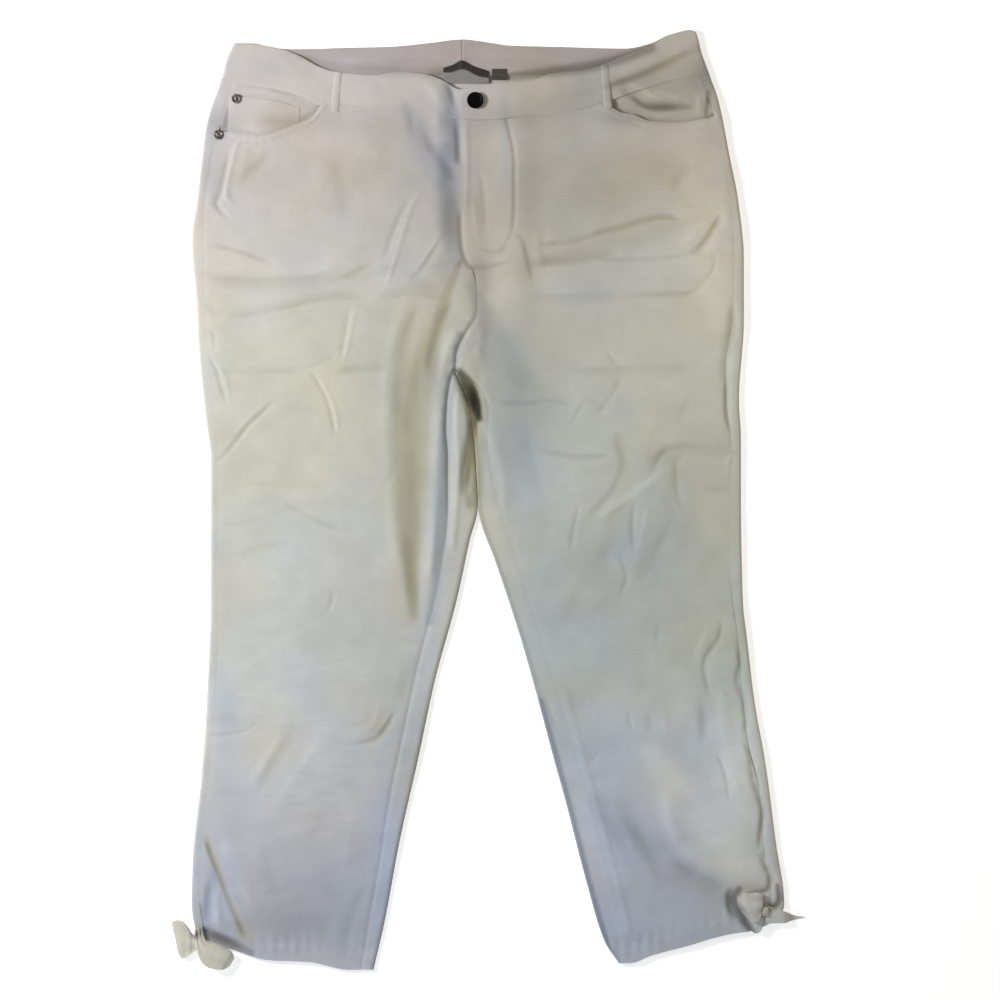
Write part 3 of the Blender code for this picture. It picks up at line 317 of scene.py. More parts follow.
LEFT_CREASES = [
    # whiskers across the hip
    (-1.3, 3, 2.8, [(52, 262), (75, 264), (97, 268), (116, 274)]),
    (-2.1, 4, 3, [(104, 270), (122, 276), (143, 281), (163, 287), (184, 291), (202, 289)]),
    (0.5, 3, 5, [(116, 265), (147, 272), (178, 279), (202, 282)]),
    (-1.7, 6, 4, [(44, 240), (66, 244), (93, 247), (120, 251), (139, 258)]),
    (-1.1, 2.4, 2.6, [(112, 247), (153, 248), (186, 249), (209, 254)]),
    (-1.9, 3.4, 4.4, [(202, 250), (217, 258), (226, 268), (233, 280), (243, 296)]),
    (0.5, 4, 3, [(194, 261), (209, 268), (219, 282)]),
    (-1.1, 2.3, 9, [(36, 208), (75, 210), (116, 211), (151, 212)]),
    (-1.4, 2.4, 3.6, [(139, 211), (167, 212), (200, 212), (223, 218)]),
    (-0.55, 2.6, 3, [(211, 216), (225, 227), (233, 239), (235, 253)]),
    (-0.5, 2.3, 2.6, [(231, 255), (248, 254), (264, 254)]),
    (-0.9, 7, 6, [(211, 348), (200, 332), (186, 317)]),
    (-0.45, 2.6, 3, [(201, 304), (221, 301)]),
    (-0.45, 6, 8, [(36, 385), (64, 378), (106, 377)]),
    (0.45, 2.3, 2.6, [(159, 359), (174, 358), (189, 364), (202, 373)]),
    (-0.4, 2.4, 2.8, [(157, 366), (171, 374), (186, 380)]),
    (-0.35, 8, 9, [(75, 319), (116, 324), (167, 330)]),
    # round the fly and its foot
    (0.6, 2.6, 3, [(-23, 420), (-22, 381), (-21, 340), (-22, 294)]),
    (-0.55, 3, 3, [(-9, 340), (-4, 314), (-2, 270)]),
    (0.5, 2.6, 3, [(-14, 313), (-11, 280), (-6, 265)]),
    (-1.5, 2.5, 2.5, [(-28, 303), (-27, 268), (-24, 251), (-16, 240), (-2, 239), (17, 243),
                      (31, 244)]),
    (-0.9, 2.3, 2.6, [(-10, 261), (7, 255), (27, 260)]),
    (0.6, 2.5, 2.5, [(-9, 249), (11, 247), (28, 249)]),
    (-1.2, 3.2, 4.4, [(27, 276), (37, 268), (42, 249), (48, 222)]),
    (0.35, 3, 4, [(50, 283), (52, 258), (58, 231)]),
    # thigh
    (-0.5, 11, 16, [(-4, 210), (8, 185), (22, 161), (38, 138), (55, 113)]),
    (0.8, 4, 8, [(-2, 152), (-4, 118), (-3, 88), (5, 60), (14, 35), (17, 5), (13, -21)]),
    (-0.5, 16, 5, [(31, 95), (40, 70), (47, 43), (55, 14), (63, -12)]),
    (-1.2, 2.4, 2.8, [(13, 101), (42, 99), (66, 102), (91, 97)]),
    (-1.2, 2.5, 3, [(52, 54), (71, 48), (97, 44), (130, 45)]),
    (-0.9, 2.3, 8, [(81, 134), (116, 134), (147, 136), (182, 137), (225, 138)]),
    (-0.7, 3, 3, [(120, 154), (130, 143), (141, 134)]),
    (-0.5, 3, 4, [(138, 132), (132, 113), (121, 98), (110, 82)]),
    (-0.45, 2.3, 2.6, [(104, 107), (95, 93), (85, 77)]),
    (-0.85, 4.2, 5.5, [(132, 78), (135, 56), (140, 37), (133, 16), (120, -2), (101, -19)]),
    (0.6, 3.6, 4, [(194, 41), (174, 23), (153, 7), (128, -10), (110, -25)]),
    (-1.0, 5, 3.4, [(168, 25), (176, 41), (187, 52), (209, 55), (235, 54)]),
    (-0.65, 3, 3.4, [(194, 45), (194, 23), (197, 2), (202, -14)]),
    (-0.4, 3, 5, [(211, 111), (202, 93), (193, 74)]),
    (-0.8, 5, 3, [(217, 9), (258, 10)]),
    (-0.65, 3, 2.8, [(94, -2), (91, -21), (87, -41), (84, -56)]),
    (-0.65, 2.6, 3, [(133, -49), (139, -64), (143, -80), (135, -101)]),
    (-0.75, 3, 3, [(151, 0), (149, -27), (151, -56)]),
    (0.6, 3, 4, [(165, -6), (161, -29), (157, -49)]),
    (-0.6, 6, 8, [(194, -4), (183, -35), (167, -64)]),
    (-0.45, 10, 10, [(106, -88), (87, -113), (77, -144)]),
    (-0.4, 2.4, 3, [(176, -124), (174, -149)]),
    (-0.35, 8, 8, [(157, -144), (162, -185), (157, -211)]),
    # shin and hem
    (-1.0, 3, 3.6, [(241, -122), (239, -140), (230, -154), (223, -169), (225, -187), (230, -206)]),
    (0.7, 4, 6, [(231, -126), (221, -149), (214, -173)]),
    (-1.1, 5, 6, [(211, -206), (222, -218), (223, -237), (219, -255)]),
    (0.9, 7, 8, [(238, -177), (242, -206), (243, -237), (254, -270)]),
    (-0.6, 2.8, 3, [(145, -214), (146, -227), (151, -239)]),
    (0.5, 4, 5, [(178, -210), (184, -241)]),
    (-0.5, 4, 4, [(165, -216), (169, -239)]),
    (-0.8, 3, 3, [(234, -258), (243, -276), (247, -295), (248, -315)]),
    (0.4, 2.6, 3, [(253, -280), (260, -305)]),
    (-0.7, 3.4, 3, [(58, -198), (66, -220), (73, -239)]),
    (-0.35, 3, 4, [(118, -255), (106, -270), (99, -280)]),
    (1.4, 9, 9, [(182, -294), (188, -328), (200, -356), (225, -375), (256, -385)]),
    (-1.1, 10, 9, [(134, -328), (155, -344), (167, -365), (186, -385)]),
    (-1.6, 5, 9, [(186, -367), (204, -380), (223, -389), (242, -397), (256, -400)]),
    (1, 7, 7, [(122, -299), (145, -342), (165, -379), (182, -404)]),
    (0.4, 6, 6, [(204, -396), (225, -410), (242, -424)]),
    (-3.6, 4, 4, [(256, -396), (249, -408), (250, -420), (259, -432)]),
    (-0.4, 8, 8, [(116, -371), (136, -402), (157, -424)]),
    # along the outseam
    (-1.5, 6, 4.5, [(253, 210), (253, 185), (249, 159), (245, 136), (246, 111)]),
    (-2, 3, 3, [(247, 128), (246, 99), (248, 78), (253, 68)]),
    (0.6, 2.4, 2.6, [(252, 54), (249, 41), (246, 33)]),
    (-1.4, 4, 4, [(257, -146), (261, -167), (257, -185), (265, -208), (267, -229), (261, -245)]),
    (-1.7, 3.4, 3.6, [(262, -245), (270, -262), (273, -284), (279, -305), (284, -321), (281, -344),
                      (280, -363)]),
    (-2, 3.2, 3.2, [(280, -363), (285, -375), (292, -387), (289, -401), (277, -405), (264, -404)]),
    (-2.2, 3, 3, [(298, -396), (301, -409), (296, -418), (283, -420)]),
    (0.5, 2.4, 2.4, [(289, -356), (293, -373), (298, -391)]),
]
# The cleft where the inner legs press together, and the ridges on either side of it
CLEFT_CREASES = [
    (-4, 6, 5, [(-28, 130), (-19, 117), (-14, 101), (-14, 78), (-17, 56), (-20, 31), (-24, 0)]),
    (-3.4, 3, 3, [(-31, 134), (-20, 127), (-12, 111), (-8, 93), (-12, 76)]),
    (-2.6, 5, 4, [(-28, 128), (-23, 113), (-19, 99), (-17, 82)]),
    (-1.6, 2.6, 2.6, [(-14, 31), (-11, 10), (-9, -8)]),
    (1.2, 4, 4, [(-31, 115), (-32, 77), (-30, 41), (-32, -5), (-37, -57)]),
    (1.1, 5, 5, [(-12, 187), (-6, 171), (-9, 152), (-2, 136)]),
    (-0.6, 3, 3, [(-20, 152), (-10, 161), (1, 165)]),
]
FACING_CREASES = [
    (1, 3, 3, [(-252, 419), (-236, 421), (-218, 418), (-197, 412)]),
    (-0.6, 3, 3, [(-232, 411), (-214, 406), (-193, 404)]),
    (-0.7, 6, 5, [(-232, 391), (-210, 389), (-187, 396)]),
    (-1, 2.6, 2.6, [(-197, 389), (-187, 393), (-179, 398)]),
    (-1.7, 3.2, 3.4, [(146, 419), (155, 411), (165, 405.5), (182, 403), (205, 404)]),
    (0.7, 2.6, 2.6, [(149, 430), (162, 421), (176, 413), (190, 408)]),
    (-0.7, 2.6, 3, [(136, 421), (150, 424), (166, 421)]),
    (0.9, 2.4, 2.4, [(169, 394), (188, 398), (209, 403)]),
    (-0.9, 3, 3, [(120, 414), (132, 406), (143, 400)]),
    (-1.7, 2.4, 2.4, [(228, 420), (227, 408), (225, 392)]),
    (0.8, 3, 3, [(219, 422), (218, 408), (217, 396)]),
]
BAND_CREASES = [
    (-2, 2.6, 5, [(122, 425), (139, 431), (161, 439), (186, 451), (217, 467)]),
    (0.9, 4, 5, [(128, 435), (157, 447), (182, 459)]),
    (0.5, 4, 5, [(173, 420), (194, 414)]),
    (-1.8, 3.2, 3, [(-40, 437), (-37, 422), (-33, 402)]),
    (0.8, 6, 5, [(-63, 433), (-52, 418), (-49, 404)]),
    (-0.35, 3, 4, [(75, 414), (106, 420), (120, 424)]),
    (-0.3, 5, 7, [(-119, 428), (-98, 415)]),
    (-0.35, 5, 7, [(-228, 451), (-203, 435)]),
    (-0.4, 2.6, 4, [(-282, 416), (-271, 428), (-259, 437)]),
    (0.4, 5, 5, [(-70, 433), (-53, 416)]),
]
INNER_BAND_CREASES = [
    (-0.7, 3, 6, [(-146, 447), (-108, 451), (-41, 454)]),
    (-0.7, 3, 6, [(-28, 454), (19, 454), (51, 449), (82, 445), (110, 447)]),
    (0.6, 2, 3, [(-26.5, 474), (-26.5, 440)]),
]

# Seams and stitched lines: groove depth, half width of the groove, height of the puckers,
# their reach and pitch, and the line as (x, height)
SEAM_GROOVE = (0.55, 2.2, 0.24, 7.0, 13.0)
INSEAM_GROOVE = (0.8, 2.3, 0.18, 6.0, 15.0)
STITCH_GROOVE = (0.30, 1.4, 0.12, 4.0, 9.0)
FLY_GROOVE = (1.0, 2.0, 0.16, 5.0, 12.0)
# How plainly each outseam shows, as (height, strength)
RIGHT_SEAM_LOUD = [(-440, 0.5), (-300, 0.35), (-100, 0.25), (200, 0.3), (330, 0.7)]
LEFT_SEAM_LOUD = [
    (-400, 1.3), (-260, 1.1), (-150, 0.5), (-60, 0.1), (10, 0.15), (60, 0.7), (110, 0.9),
    (180, 0.5), (300, 0.2),
]
RIGHT_INSEAM_LOUD = [
    (-480, 0.6), (-300, 0.7), (-160, 0.8), (-80, 0.5), (-30, 1.2), (30, 2.2), (125, 2.6), (133, 2.6),
]
LEFT_INSEAM_LOUD = [(-470, 0.25), (-60, 0.25), (40, 0.4), (100, 0.6)]
CROTCH_LOUD = [(133, 2.6), (180, 2.2), (196, 0.8), (225, 0.5)]
FLY_LOUD = [(240, 0.0), (262, 0.15), (290, 0.8), (320, 1.0)]

# Painted shade and light, with the light's colour, in patches: warmth (cool is negative), shade (painted
# light where negative), and the middle and reach of each patch
TONES = [
    (-0.9, 0.10, -40, 360, 9, 72), (-0.7, 0.0, -90, 237, 25, 18), (-1.0, -0.02, -48, 0, 10, 113),
    (-0.6, 0.0, -64, -144, 12, 62), (-0.9, -0.03, -162, -242, 36, 26),
    (-0.7, 0.0, -240, -299, 26, 36), (-1.0, 0.0, -106, -371, 14, 93),
    (-0.9, 0.0, -273, -227, 14, 62), (-0.9, 0.03, -265, -402, 12, 41),
    (-0.4, 0.06, -172, -412, 62, 52), (-0.6, 0.02, 20, 154, 25, 50), (-0.6, 0.02, 33, 62, 25, 80),
    (-0.7, 0.0, 54, -62, 30, 90), (-0.5, -0.03, 75, 216, 60, 14), (-0.9, -0.05, 120, -309, 60, 93),
    (-1.0, 0.08, 188, -391, 70, 40), (-0.6, 0.06, 18, 371, 6, 62), (-0.9, -0.08, 230, -280, 40, 90),
    (1.0, 0.0, -82, 21, 14, 125), (0.6, 0.03, -55, 185, 18, 40), (0.5, -0.02, -172, 103, 72, 72),
    (0.5, 0.0, -245, 31, 41, 31), (0.8, 0.05, -232, -247, 20, 36), (0.9, 0.06, -113, -232, 14, 18),
    (0.3, 0.0, -142, 360, 62, 62), (0.5, 0.03, -255, 345, 20, 31), (0.7, -0.02, 209, 175, 46, 72),
    (0.5, 0.0, 157, 52, 62, 41), (0.4, 0.16, 75, 330, 55, 62), (0.6, 0.02, 219, 309, 31, 52),
    (0.2, 0.10, 126, 319, 46, 46), (0.0, 0.08, 54, 134, 41, 52), (0.1, 0.08, 106, -62, 62, 72),
    (-0.3, 0.12, -193, -443, 93, 41), (-0.9, 0.08, 180, -443, 90, 36),
    (0.0, 0.05, -230, 445, 62, 40), (0.3, 0.08, -10, 300, 30, 110), (1.0, 0.30, -15, 98, 7, 28),
    (0.3, 0.16, 252, 345, 6, 62), (0.0, -0.10, -22, 412, 12, 20), (0.1, -0.08, -243, 394, 10, 16),
    (0.5, 0.10, -213, 388, 22, 12), (0.4, 0.75, -299, -446, 4, 4), (-0.3, -0.06, -50, 405, 14, 16),
    (0.2, 0.12, -95, 330, 45, 62), (-0.5, 0.05, -116, 124, 28, 70), (0.0, 0.05, 44, 124, 40, 60),
    (0.0, -0.09, 178, 124, 75, 65), (0.0, -0.09, 178, -237, 75, 70), (-0.2, -0.08, -213, -237, 70, 70),
    (0.1, -0.05, -213, -62, 70, 70), (0.0, 0.09, -208, -402, 65, 50), (-0.5, 0.03, 147, -62, 75, 70),
    (0.0, -0.06, 200, 290, 60, 60), (0.0, 0.07, -213, 288, 65, 55), (-0.5, 0.0, -205, 445, 70, 20),
    (0.0, 0.22, 157, 427, 80, 25), (0.0, 0.14, 75, 402, 40, 20), (0.0, 0.20, 228, 438, 20, 25),
    (0.0, 0.12, -193, 389, 110, 16), (0.0, 0.18, -281, 386, 15, 20), (0.0, 0.10, -39, 397, 40, 18),
    (0.0, -0.17, 235, 216, 26, 95), (0.4, -0.18, 255, -309, 30, 90), (0.3, -0.13, -289, -247, 16, 60),
    (0.0, 0.12, -234, -438, 70, 20), (-0.55, -0.03, 125, -40, 95, 150), (-0.6, 0.0, -147, 52, 25, 60),
    (-0.4, 0.10, -54, 10, 14, 60), (0.0, 0.10, -10, 170, 12, 30), (0.0, 0.12, -52, 120, 12, 30),
    (-0.4, 0.0, 90, 90, 40, 60), (0.0, 0.08, -85, -260, 30, 60), (0.0, 0.10, -22, 320, 16, 60),
    (0.0, 0.20, 136, 393, 22, 10), (0.0, 0.12, 42, 309, 14, 90), (0.0, 0.12, 39, 237, 14, 18),
    (0.0, 0.13, -8, 206, 12, 50), (0.0, 0.09, -100, 57, 14, 50), (0.3, -0.10, 106, 0, 60, 45),
    (0.0, -0.08, 209, 216, 40, 90), (0.0, -0.10, 245, -268, 30, 50), (0.0, 0.07, -121, -371, 40, 70),
    (0.0, 0.09, 80, -227, 20, 40), (0.0, 0.10, -203, 340, 75, 28), (0.0, 0.12, -286, 340, 15, 25),
    (0.5, 0.32, 182, 405, 22, 5), (-0.2, -0.10, -275, -418, 6, 15), (0.0, -0.05, -236, -440, 60, 25),
    (0.0, 0.16, -54, 134, 8, 32), (0.0, -0.08, 190, -381, 60, 35), (0.0, -0.07, 265, -290, 20, 80),
    (0.0, -0.07, 224, 288, 25, 25), (0.0, 0.13, 30, 392, 28, 12), (0.2, 0.14, 172, 389, 26, 8),
    (0.0, 0.12, -8, 237, 14, 20), (0.0, 0.08, -54, 237, 16, 24), (0.2, 0.20, -50, 441, 12, 8),
    (0.3, 0.12, -8, 134, 8, 25), (0.0, 0.08, -8, 391, 14, 14), (0.0, 0.08, 224, 443, 22, 18),
    (0.0, -0.08, -239, -175, 26, 70), (0.0, -0.09, -286, 175, 12, 55), (0.0, -0.09, -147, 443, 24, 12),
    (0.0, 0.06, -54, 288, 20, 25), (0.0, 0.08, -8, 288, 14, 25), (0.0, 0.07, 39, 185, 22, 25),
    (0.0, -0.06, 39, 5, 22, 40), (0.0, -0.07, 85, -330, 22, 35), (0.0, 0.06, 178, 31, 18, 18),
    (0.0, 0.10, 178, 340, 26, 24), (0.0, -0.10, 178, -433, 30, 14), (0.0, -0.05, 131, -381, 22, 26),
    (0.0, -0.04, -190, 237, 60, 20), (0.0, -0.04, 170, 237, 60, 20), (0.0, 0.06, -100, -124, 22, 30),
    (0.0, 0.04, -125, -227, 45, 25), (0.0, 0.05, 131, -330, 18, 20), (0.0, 0.06, 85, -381, 16, 25),
]

# Painted shade and light, with the light's colour, along a line: warmth, shade (painted light where
# negative), half widths at its start, middle and end
TONE_BANDS = [
    # Beside the fly
    (-0.5, 0.13, (6, 15, 10), [(-84, 404), (-74, 381), (-61, 356), (-50, 328)]),
    (-0.4, 0.14, (4, 7, 5), [(-43, 426), (-38, 402), (-33, 374), (-31, 350)]),
    (-0.5, 0.17, (9, 15, 7), [(-43, 360), (-42, 319), (-39, 283), (-32, 245)]),
    # The fold of the wearer's right thigh
    (0.9, 0.2, (3, 16, 5), [(-28, 245), (-40, 216), (-55, 169), (-70, 124), (-76, 72), (-77, 21),
        (-78, -31), (-78, -77), (-75, -118)]),
    (0.4, 0.08, (6, 9, 6), [(-78, 206), (-88, 154), (-93, 93)]),
    # Either side of the cleft
    (-0.8, 0.17, (4, 8, 5), [(-28, 170), (-37, 124), (-43, 72), (-46, 21), (-48, -31), (-52, -77),
        (-59, -124)]),
    (-0.2, 0.12, (6, 26, 28), [(-18, 220), (1, 180), (15, 139), (25, 93), (30, 46), (33, -5)]),
    (0.8, 0.62, (5, 9, 4), [(-29, 131), (-21, 116), (-13, 101), (-8, 84)]),
    (0.9, 0.3, (5, 7, 5), [(-16, 78), (-19, 52), (-20, 23), (-18, -5)]),
    (1.0, 0.14, (5, 6, 4), [(-5, 100), (-6, 70), (-7, 35), (-8, 5)]),
    # Wearer's left knee
    (0.3, 0.07, (5, 10, 5), [(136, 66), (141, 25), (130, -16), (118, -58)]),
    (0.3, 0.08, (5, 12, 6), [(194, 39), (186, 2), (173, -39), (157, -77)]),
    (0.3, 0.06, (5, 8, 5), [(167, 43), (209, 52), (255, 49)]),
    (0, -0.07, (4, 8, 4), [(116, -12), (157, 12), (200, 39)]),
    # Across the hips
    (0.2, 0.07, (5, 12, 5), [(48, 245), (106, 258), (167, 274), (225, 293)]),
    (0.1, 0.06, (5, 10, 5), [(-292, 232), (-234, 222), (-173, 227), (-98, 239)]),
    # Wearer's left shin and its inner edge
    (-0.1, 0.13, (10, 22, 14), [(112, -309), (149, -348), (186, -377), (237, -404)]),
    (0.1, -0.14, (12, 26, 14), [(167, -260), (202, -315), (235, -356), (268, -379)]),
    (0.5, 0.62, (4, 6, 4), [(258, -400), (253, -410), (257, -421), (264, -433), (271, -442)]),
    (0.8, 0.45, (2.5, 3.5, 2.5), [(298, -396), (300, -410), (294, -419), (283, -421)]),
    (-0.2, -0.06, (8, 10, 8), [(77, -206), (99, -288), (122, -371), (139, -443)]),
    (0, 0.08, (2, 2, 2), [(83, -196), (108, -288), (131, -371), (149, -443)]),
    (-0.7, 0.26, (2.5, 3.5, 3), [(55, -206), (78, -288), (99, -371), (126, -466)]),
    # Wearer's right hem
    (0.2, 0.32, (5, 6, 4), [(-293, -441), (-278, -450), (-261, -458), (-243, -465)]),
    (0, -0.08, (4, 9, 6), [(-273, -356), (-267, -396), (-263, -427)]),
    (-1.0, 0.08, (4, 6, 5), [(-282, -383), (-284, -405), (-287, -425), (-289, -440)]),
    (0.8, 0.05, (4, 6, 6), [(-290, -346), (-273, -390), (-257, -431), (-245, -455)]),
    # Wearer's left pocket and the waistband
    (0.3, 0.15, (3, 4.5, 3), [(139, 420), (155, 410), (178, 403), (207, 404)]),
    (0, -0.12, (3, 5, 3), [(147, 426), (169, 418), (194, 414)]),
    (0.6, 0.30, (2.5, 3.5, 3), [(227, 419), (226.5, 407), (226, 394)]),
    (0.2, 0.12, (3, 5, 4), [(120, 424), (157, 437), (190, 451), (219, 466)]),
    (0.2, 0.42, (4, 7, 5), [(13, 435), (54, 439), (95, 444), (136, 453), (169, 464)]),
    (0.1, 0.16, (4, 6, 5), [(-193, 456), (-142, 443), (-90, 441), (-43, 437)]),
]

# Painted colour cast of the light along each leg, rows of (height, cast): green, or lilac where negative
RIGHT_CAST = [
    (-440, -0.6), (-380, -0.7), (-330, -0.5), (-280, -0.2), (-230, 0.2), (-170, 0.5), (-70, 0.5),
    (30, 0.9), (130, 0.9), (200, 0.3), (250, -0.2), (300, -0.7), (400, -1.0), (450, -0.8),
]
LEFT_CAST = [
    (-440, -0.8), (-380, -0.8), (-330, -0.4), (-280, 0.3), (-230, 0.5), (-170, 1.4), (-70, 1.2),
    (30, 1.2), (130, 0.9), (200, 0.3), (250, 0.0), (300, 0.0), (400, -0.3), (450, -0.3),
]
# Along x, where the painted colour cast of one leg gives way to that of the other
CAST_TURN = (-60.0, 60.0)
# A painted greener cast of the light beside the left hem's tie: cast, and the middle and reach of the
# patch
TIE_CAST = (1.2, 262.0, -390.0, 50.0, 85.0)

# ---------------------------------------------------------------- colours

CREAM = (0.65, 0.62, 0.545)
CHALK = (0.58, 0.60, 0.615)
# Painted shade in the hollows, warm and cool, and in the deepest clefts, and painted highlight on ridges
HOLLOW_SHADE_WARM = (0.37, 0.335, 0.215)
HOLLOW_SHADE_COOL = (0.31, 0.335, 0.375)
DEEPEST_SHADE = (0.11, 0.095, 0.05)
RIDGE_HIGHLIGHT = (1.16, 1.165, 1.18)
# Tints of the light's colour, painted: warm and cool follow the warmth, green and lilac the cast
WARM_TINT = (1.02, 0.985, 0.83)
COOL_TINT = (0.88, 0.955, 1.08)
GREEN_TINT = (0.93, 1.0, 0.98)
LILAC_TINT = (1.0, 0.985, 1.075)
# The inside of the back waistband: the panels' twill darkened as painted shade
INNER_SHADED_CREAM = (0.515, 0.475, 0.445)
THREAD_CREAM = (0.68, 0.65, 0.57)
# Warm and cool tone of the cloths that differ from the panels' twill
FACING_TONES = ((0.60, 0.575, 0.51), (0.57, 0.57, 0.55))
TIE_TONES = ((0.76, 0.72, 0.59), (0.74, 0.715, 0.59))
PALE_TIE_TONES = ((0.72, 0.705, 0.63), (0.70, 0.69, 0.64))
# The left tie's knot: the pale tie cloth darkened as painted shade
KNOT_SHADED_TONES = ((0.54, 0.525, 0.45), (0.53, 0.52, 0.46))
# Pairs of colours between which a finer grain wanders
# The label's ground is grey as painted shade
LABEL_SHADED_GROUND = ((0.24, 0.232, 0.23), (0.31, 0.30, 0.295))
LABEL_DARK = ((0.018, 0.015, 0.013), (0.045, 0.038, 0.034))
TAG_DARK = ((0.03, 0.025, 0.02), (0.10, 0.085, 0.075))
GUNMETAL = ((0.010, 0.010, 0.012), (0.03, 0.03, 0.033))
ANTIQUE_METAL = ((0.10, 0.095, 0.085), (0.36, 0.34, 0.31))
PAPER = ((0.86, 0.86, 0.865), (0.88, 0.88, 0.88))
ROOM_COLOUR = (1.0, 0.93, 0.78, 1.0)
ROOM_STRENGTH = 0.16


# ---------------------------------------------------------------- measuring

def curve(rows, at):
    """Smooth value at each place through (place, value) rows, held level past the ends."""
    places, values = np.array(rows, float).T
    spans = np.diff(places)
    secants = np.diff(values) / spans
    before, after = secants[:-1], secants[1:]
    steady = before * after > 0
    total = np.where(steady, before + after, 1.0)
    inner = np.where(steady, 2 * before * after / total, 0.0)
    slopes = np.concatenate([secants[:1], inner, secants[-1:]])
    at = np.clip(np.asarray(at, float), places[0], places[-1])
    i = np.clip(np.searchsorted(places, at, side="right") - 1, 0, len(spans) - 1)
    t = (at - places[i]) / spans[i]
    bend_in, bend_out = slopes[i] * spans[i], slopes[i + 1] * spans[i]
    return (
        values[i] * (1 + 2 * t) * (1 - t) ** 2
        + bend_in * t * (1 - t) ** 2
        + values[i + 1] * t * t * (3 - 2 * t)
        + bend_out * t * t * (t - 1)
    )


def blend(a, b, t):
    return a + (b - a) * t


def ramp(value, start, end):
    """0 before start and 1 after end, with a soft step between them."""
    t = np.clip((value - start) / (end - start), 0.0, 1.0)
    return t * t * (3 - 2 * t)


def nearness(distance, reach):
    """1 at no distance, falling softly to 0 well past the reach."""
    return np.exp(-((distance / reach) ** 2))


def patch(x, y, middle_x, middle_y, reach_x, reach_y):
    """1 in the middle of an oval patch, falling softly to 0 round it."""
    return np.exp(-(((x - middle_x) / reach_x) ** 2 + ((y - middle_y) / reach_y) ** 2))


def beside(seam, y, way):
    """The seam's x at a height, moved half a seam gap aside, square to the seam."""
    lean = (curve(seam, y + 1) - curve(seam, y - 1)) / 2
    return curve(seam, y) + way * SEAM_GAP / 2 * np.sqrt(1 + lean * lean)


def soft_noise(x, y, cell, seed):
    """Smooth noise from -1 to 1 with lumps about one cell across."""
    size = 64
    lattice = np.random.default_rng(seed).uniform(-1, 1, (size, size))
    u, v = x / cell, y / cell
    i, j = np.floor(u).astype(int), np.floor(v).astype(int)
    s, t = ramp(u - i, 0, 1), ramp(v - j, 0, 1)
    i0, j0, i1, j1 = i % size, j % size, (i + 1) % size, (j + 1) % size
    low = blend(lattice[i0, j0], lattice[i1, j0], s)
    high = blend(lattice[i0, j1], lattice[i1, j1], s)
    return blend(low, high, t)


def smooth_path(places, per_span=4):
    """The places joined by a smooth curve, with a few points in each span."""
    places = np.array(places, float)
    steps = np.arange(len(places))
    fine = np.linspace(0, len(places) - 1, (len(places) - 1) * per_span + 1)
    if len(places) < 3:
        per_axis = [np.interp(fine, steps, places[:, k]) for k in (0, 1)]
    else:
        per_axis = [curve(np.stack([steps, places[:, k]], axis=1), fine) for k in (0, 1)]
    return np.stack(per_axis, axis=1)


def along_path(x, y, path):
    """Distance to a path, millimetres along it, its length, and which way the point lies."""
    nearest = np.full(x.shape, 1e9)
    reached = np.zeros(x.shape)
    way = np.zeros((2,) + x.shape)
    start = 0.0
    for a, b in zip(path[:-1], path[1:]):
        step = b - a
        length = math.hypot(*step)
        t = ((x - a[0]) * step[0] + (y - a[1]) * step[1]) / length ** 2
        t = np.clip(t, 0, 1)
        off_x, off_y = x - a[0] - step[0] * t, y - a[1] - step[1] * t
        distance = np.hypot(off_x, off_y)
        closer = distance < nearest
        nearest = np.where(closer, distance, nearest)
        reached = np.where(closer, start + t * length, reached)
        way = np.where(closer, np.stack([off_x, off_y]), way)
        start += length
    return nearest, reached, start, way


# ---------------------------------------------------------------- how the cloth lies

LIGHT_WAY = (-0.62, 0.78)
CREASE_FADE = 15.0
# How strongly creases and seams are painted darker as shade, and ridges lighter as highlight
CREASE_SHADE = 0.82
SEAM_SHADE = 0.7
# The hem's stitching runs this far below the turn-up's edge, and its relief ends above
HEM_STITCH_DROP = 1.5
HEM_ZONE = 90.0
# Below the waist seam, where the cloth is held flat at first
SEAM_CALM = (-6.0, 14.0)
# Rows of stitches below a pocket mouth, and the fold of cloth between them
MOUTH_STITCHES = (2.2, 8.2)
MOUTH_FOLD = 3.6
MOUTH_FOLD_RISE = 0.7
MOUTH_FOLD_REACH = 2.6
# Reach of the painted shade that the front's edge leaves behind a mouth
MOUTH_SHADE_REACH = 4.0
# Painted shade where the right front runs under the fly, and the rise of the fly's facing
UNDERLAP_SHADE = 0.35
FLY_FACING_RISE = 0.35
# Above a mouth's edge: where the facing joins the front, and where its creases set in
FACING_JOIN = (0.5, 8.0)
FACING_SHOWN = (-2.0, 8.0)


def cloth_tones(x, y):
    """Painted light colour with some random warmth, painted shade (painted light where negative) and
    painted colour cast, at each place.
    """
    warm, shade = np.zeros(x.shape), np.zeros(x.shape)
    for warmth, dark, *oval in TONES:
        share = patch(x, y, *oval)
        warm += warmth * share
        shade += dark * share
    for warmth, dark, half_widths, places in TONE_BANDS:
        close = near_places(x, y, places, 2 * max(half_widths))
        if not close.any():
            continue
        distance, reached, length, _ = along_path(x[close], y[close], smooth_path(places))
        half_width = np.interp(reached / length, (0, 0.5, 1), half_widths)
        share = np.exp(-((distance / half_width) ** 3))
        warm[close] += warmth * share
        shade[close] += dark * share
    cast = blend(curve(RIGHT_CAST, y), curve(LEFT_CAST, y), ramp(x, *CAST_TURN))
    cast += TIE_CAST[0] * patch(x, y, *TIE_CAST[1:])
    return warm + 0.35 * soft_noise(x, y, 48, 51), shade, cast


def near_places(x, y, places, reach):
    """Which points are close enough to a line to be moved by it."""
    low = np.min(places, axis=0) - reach
    high = np.max(places, axis=0) + reach
    return (x > low[0]) & (x < high[0]) & (y > low[1]) & (y < high[1])


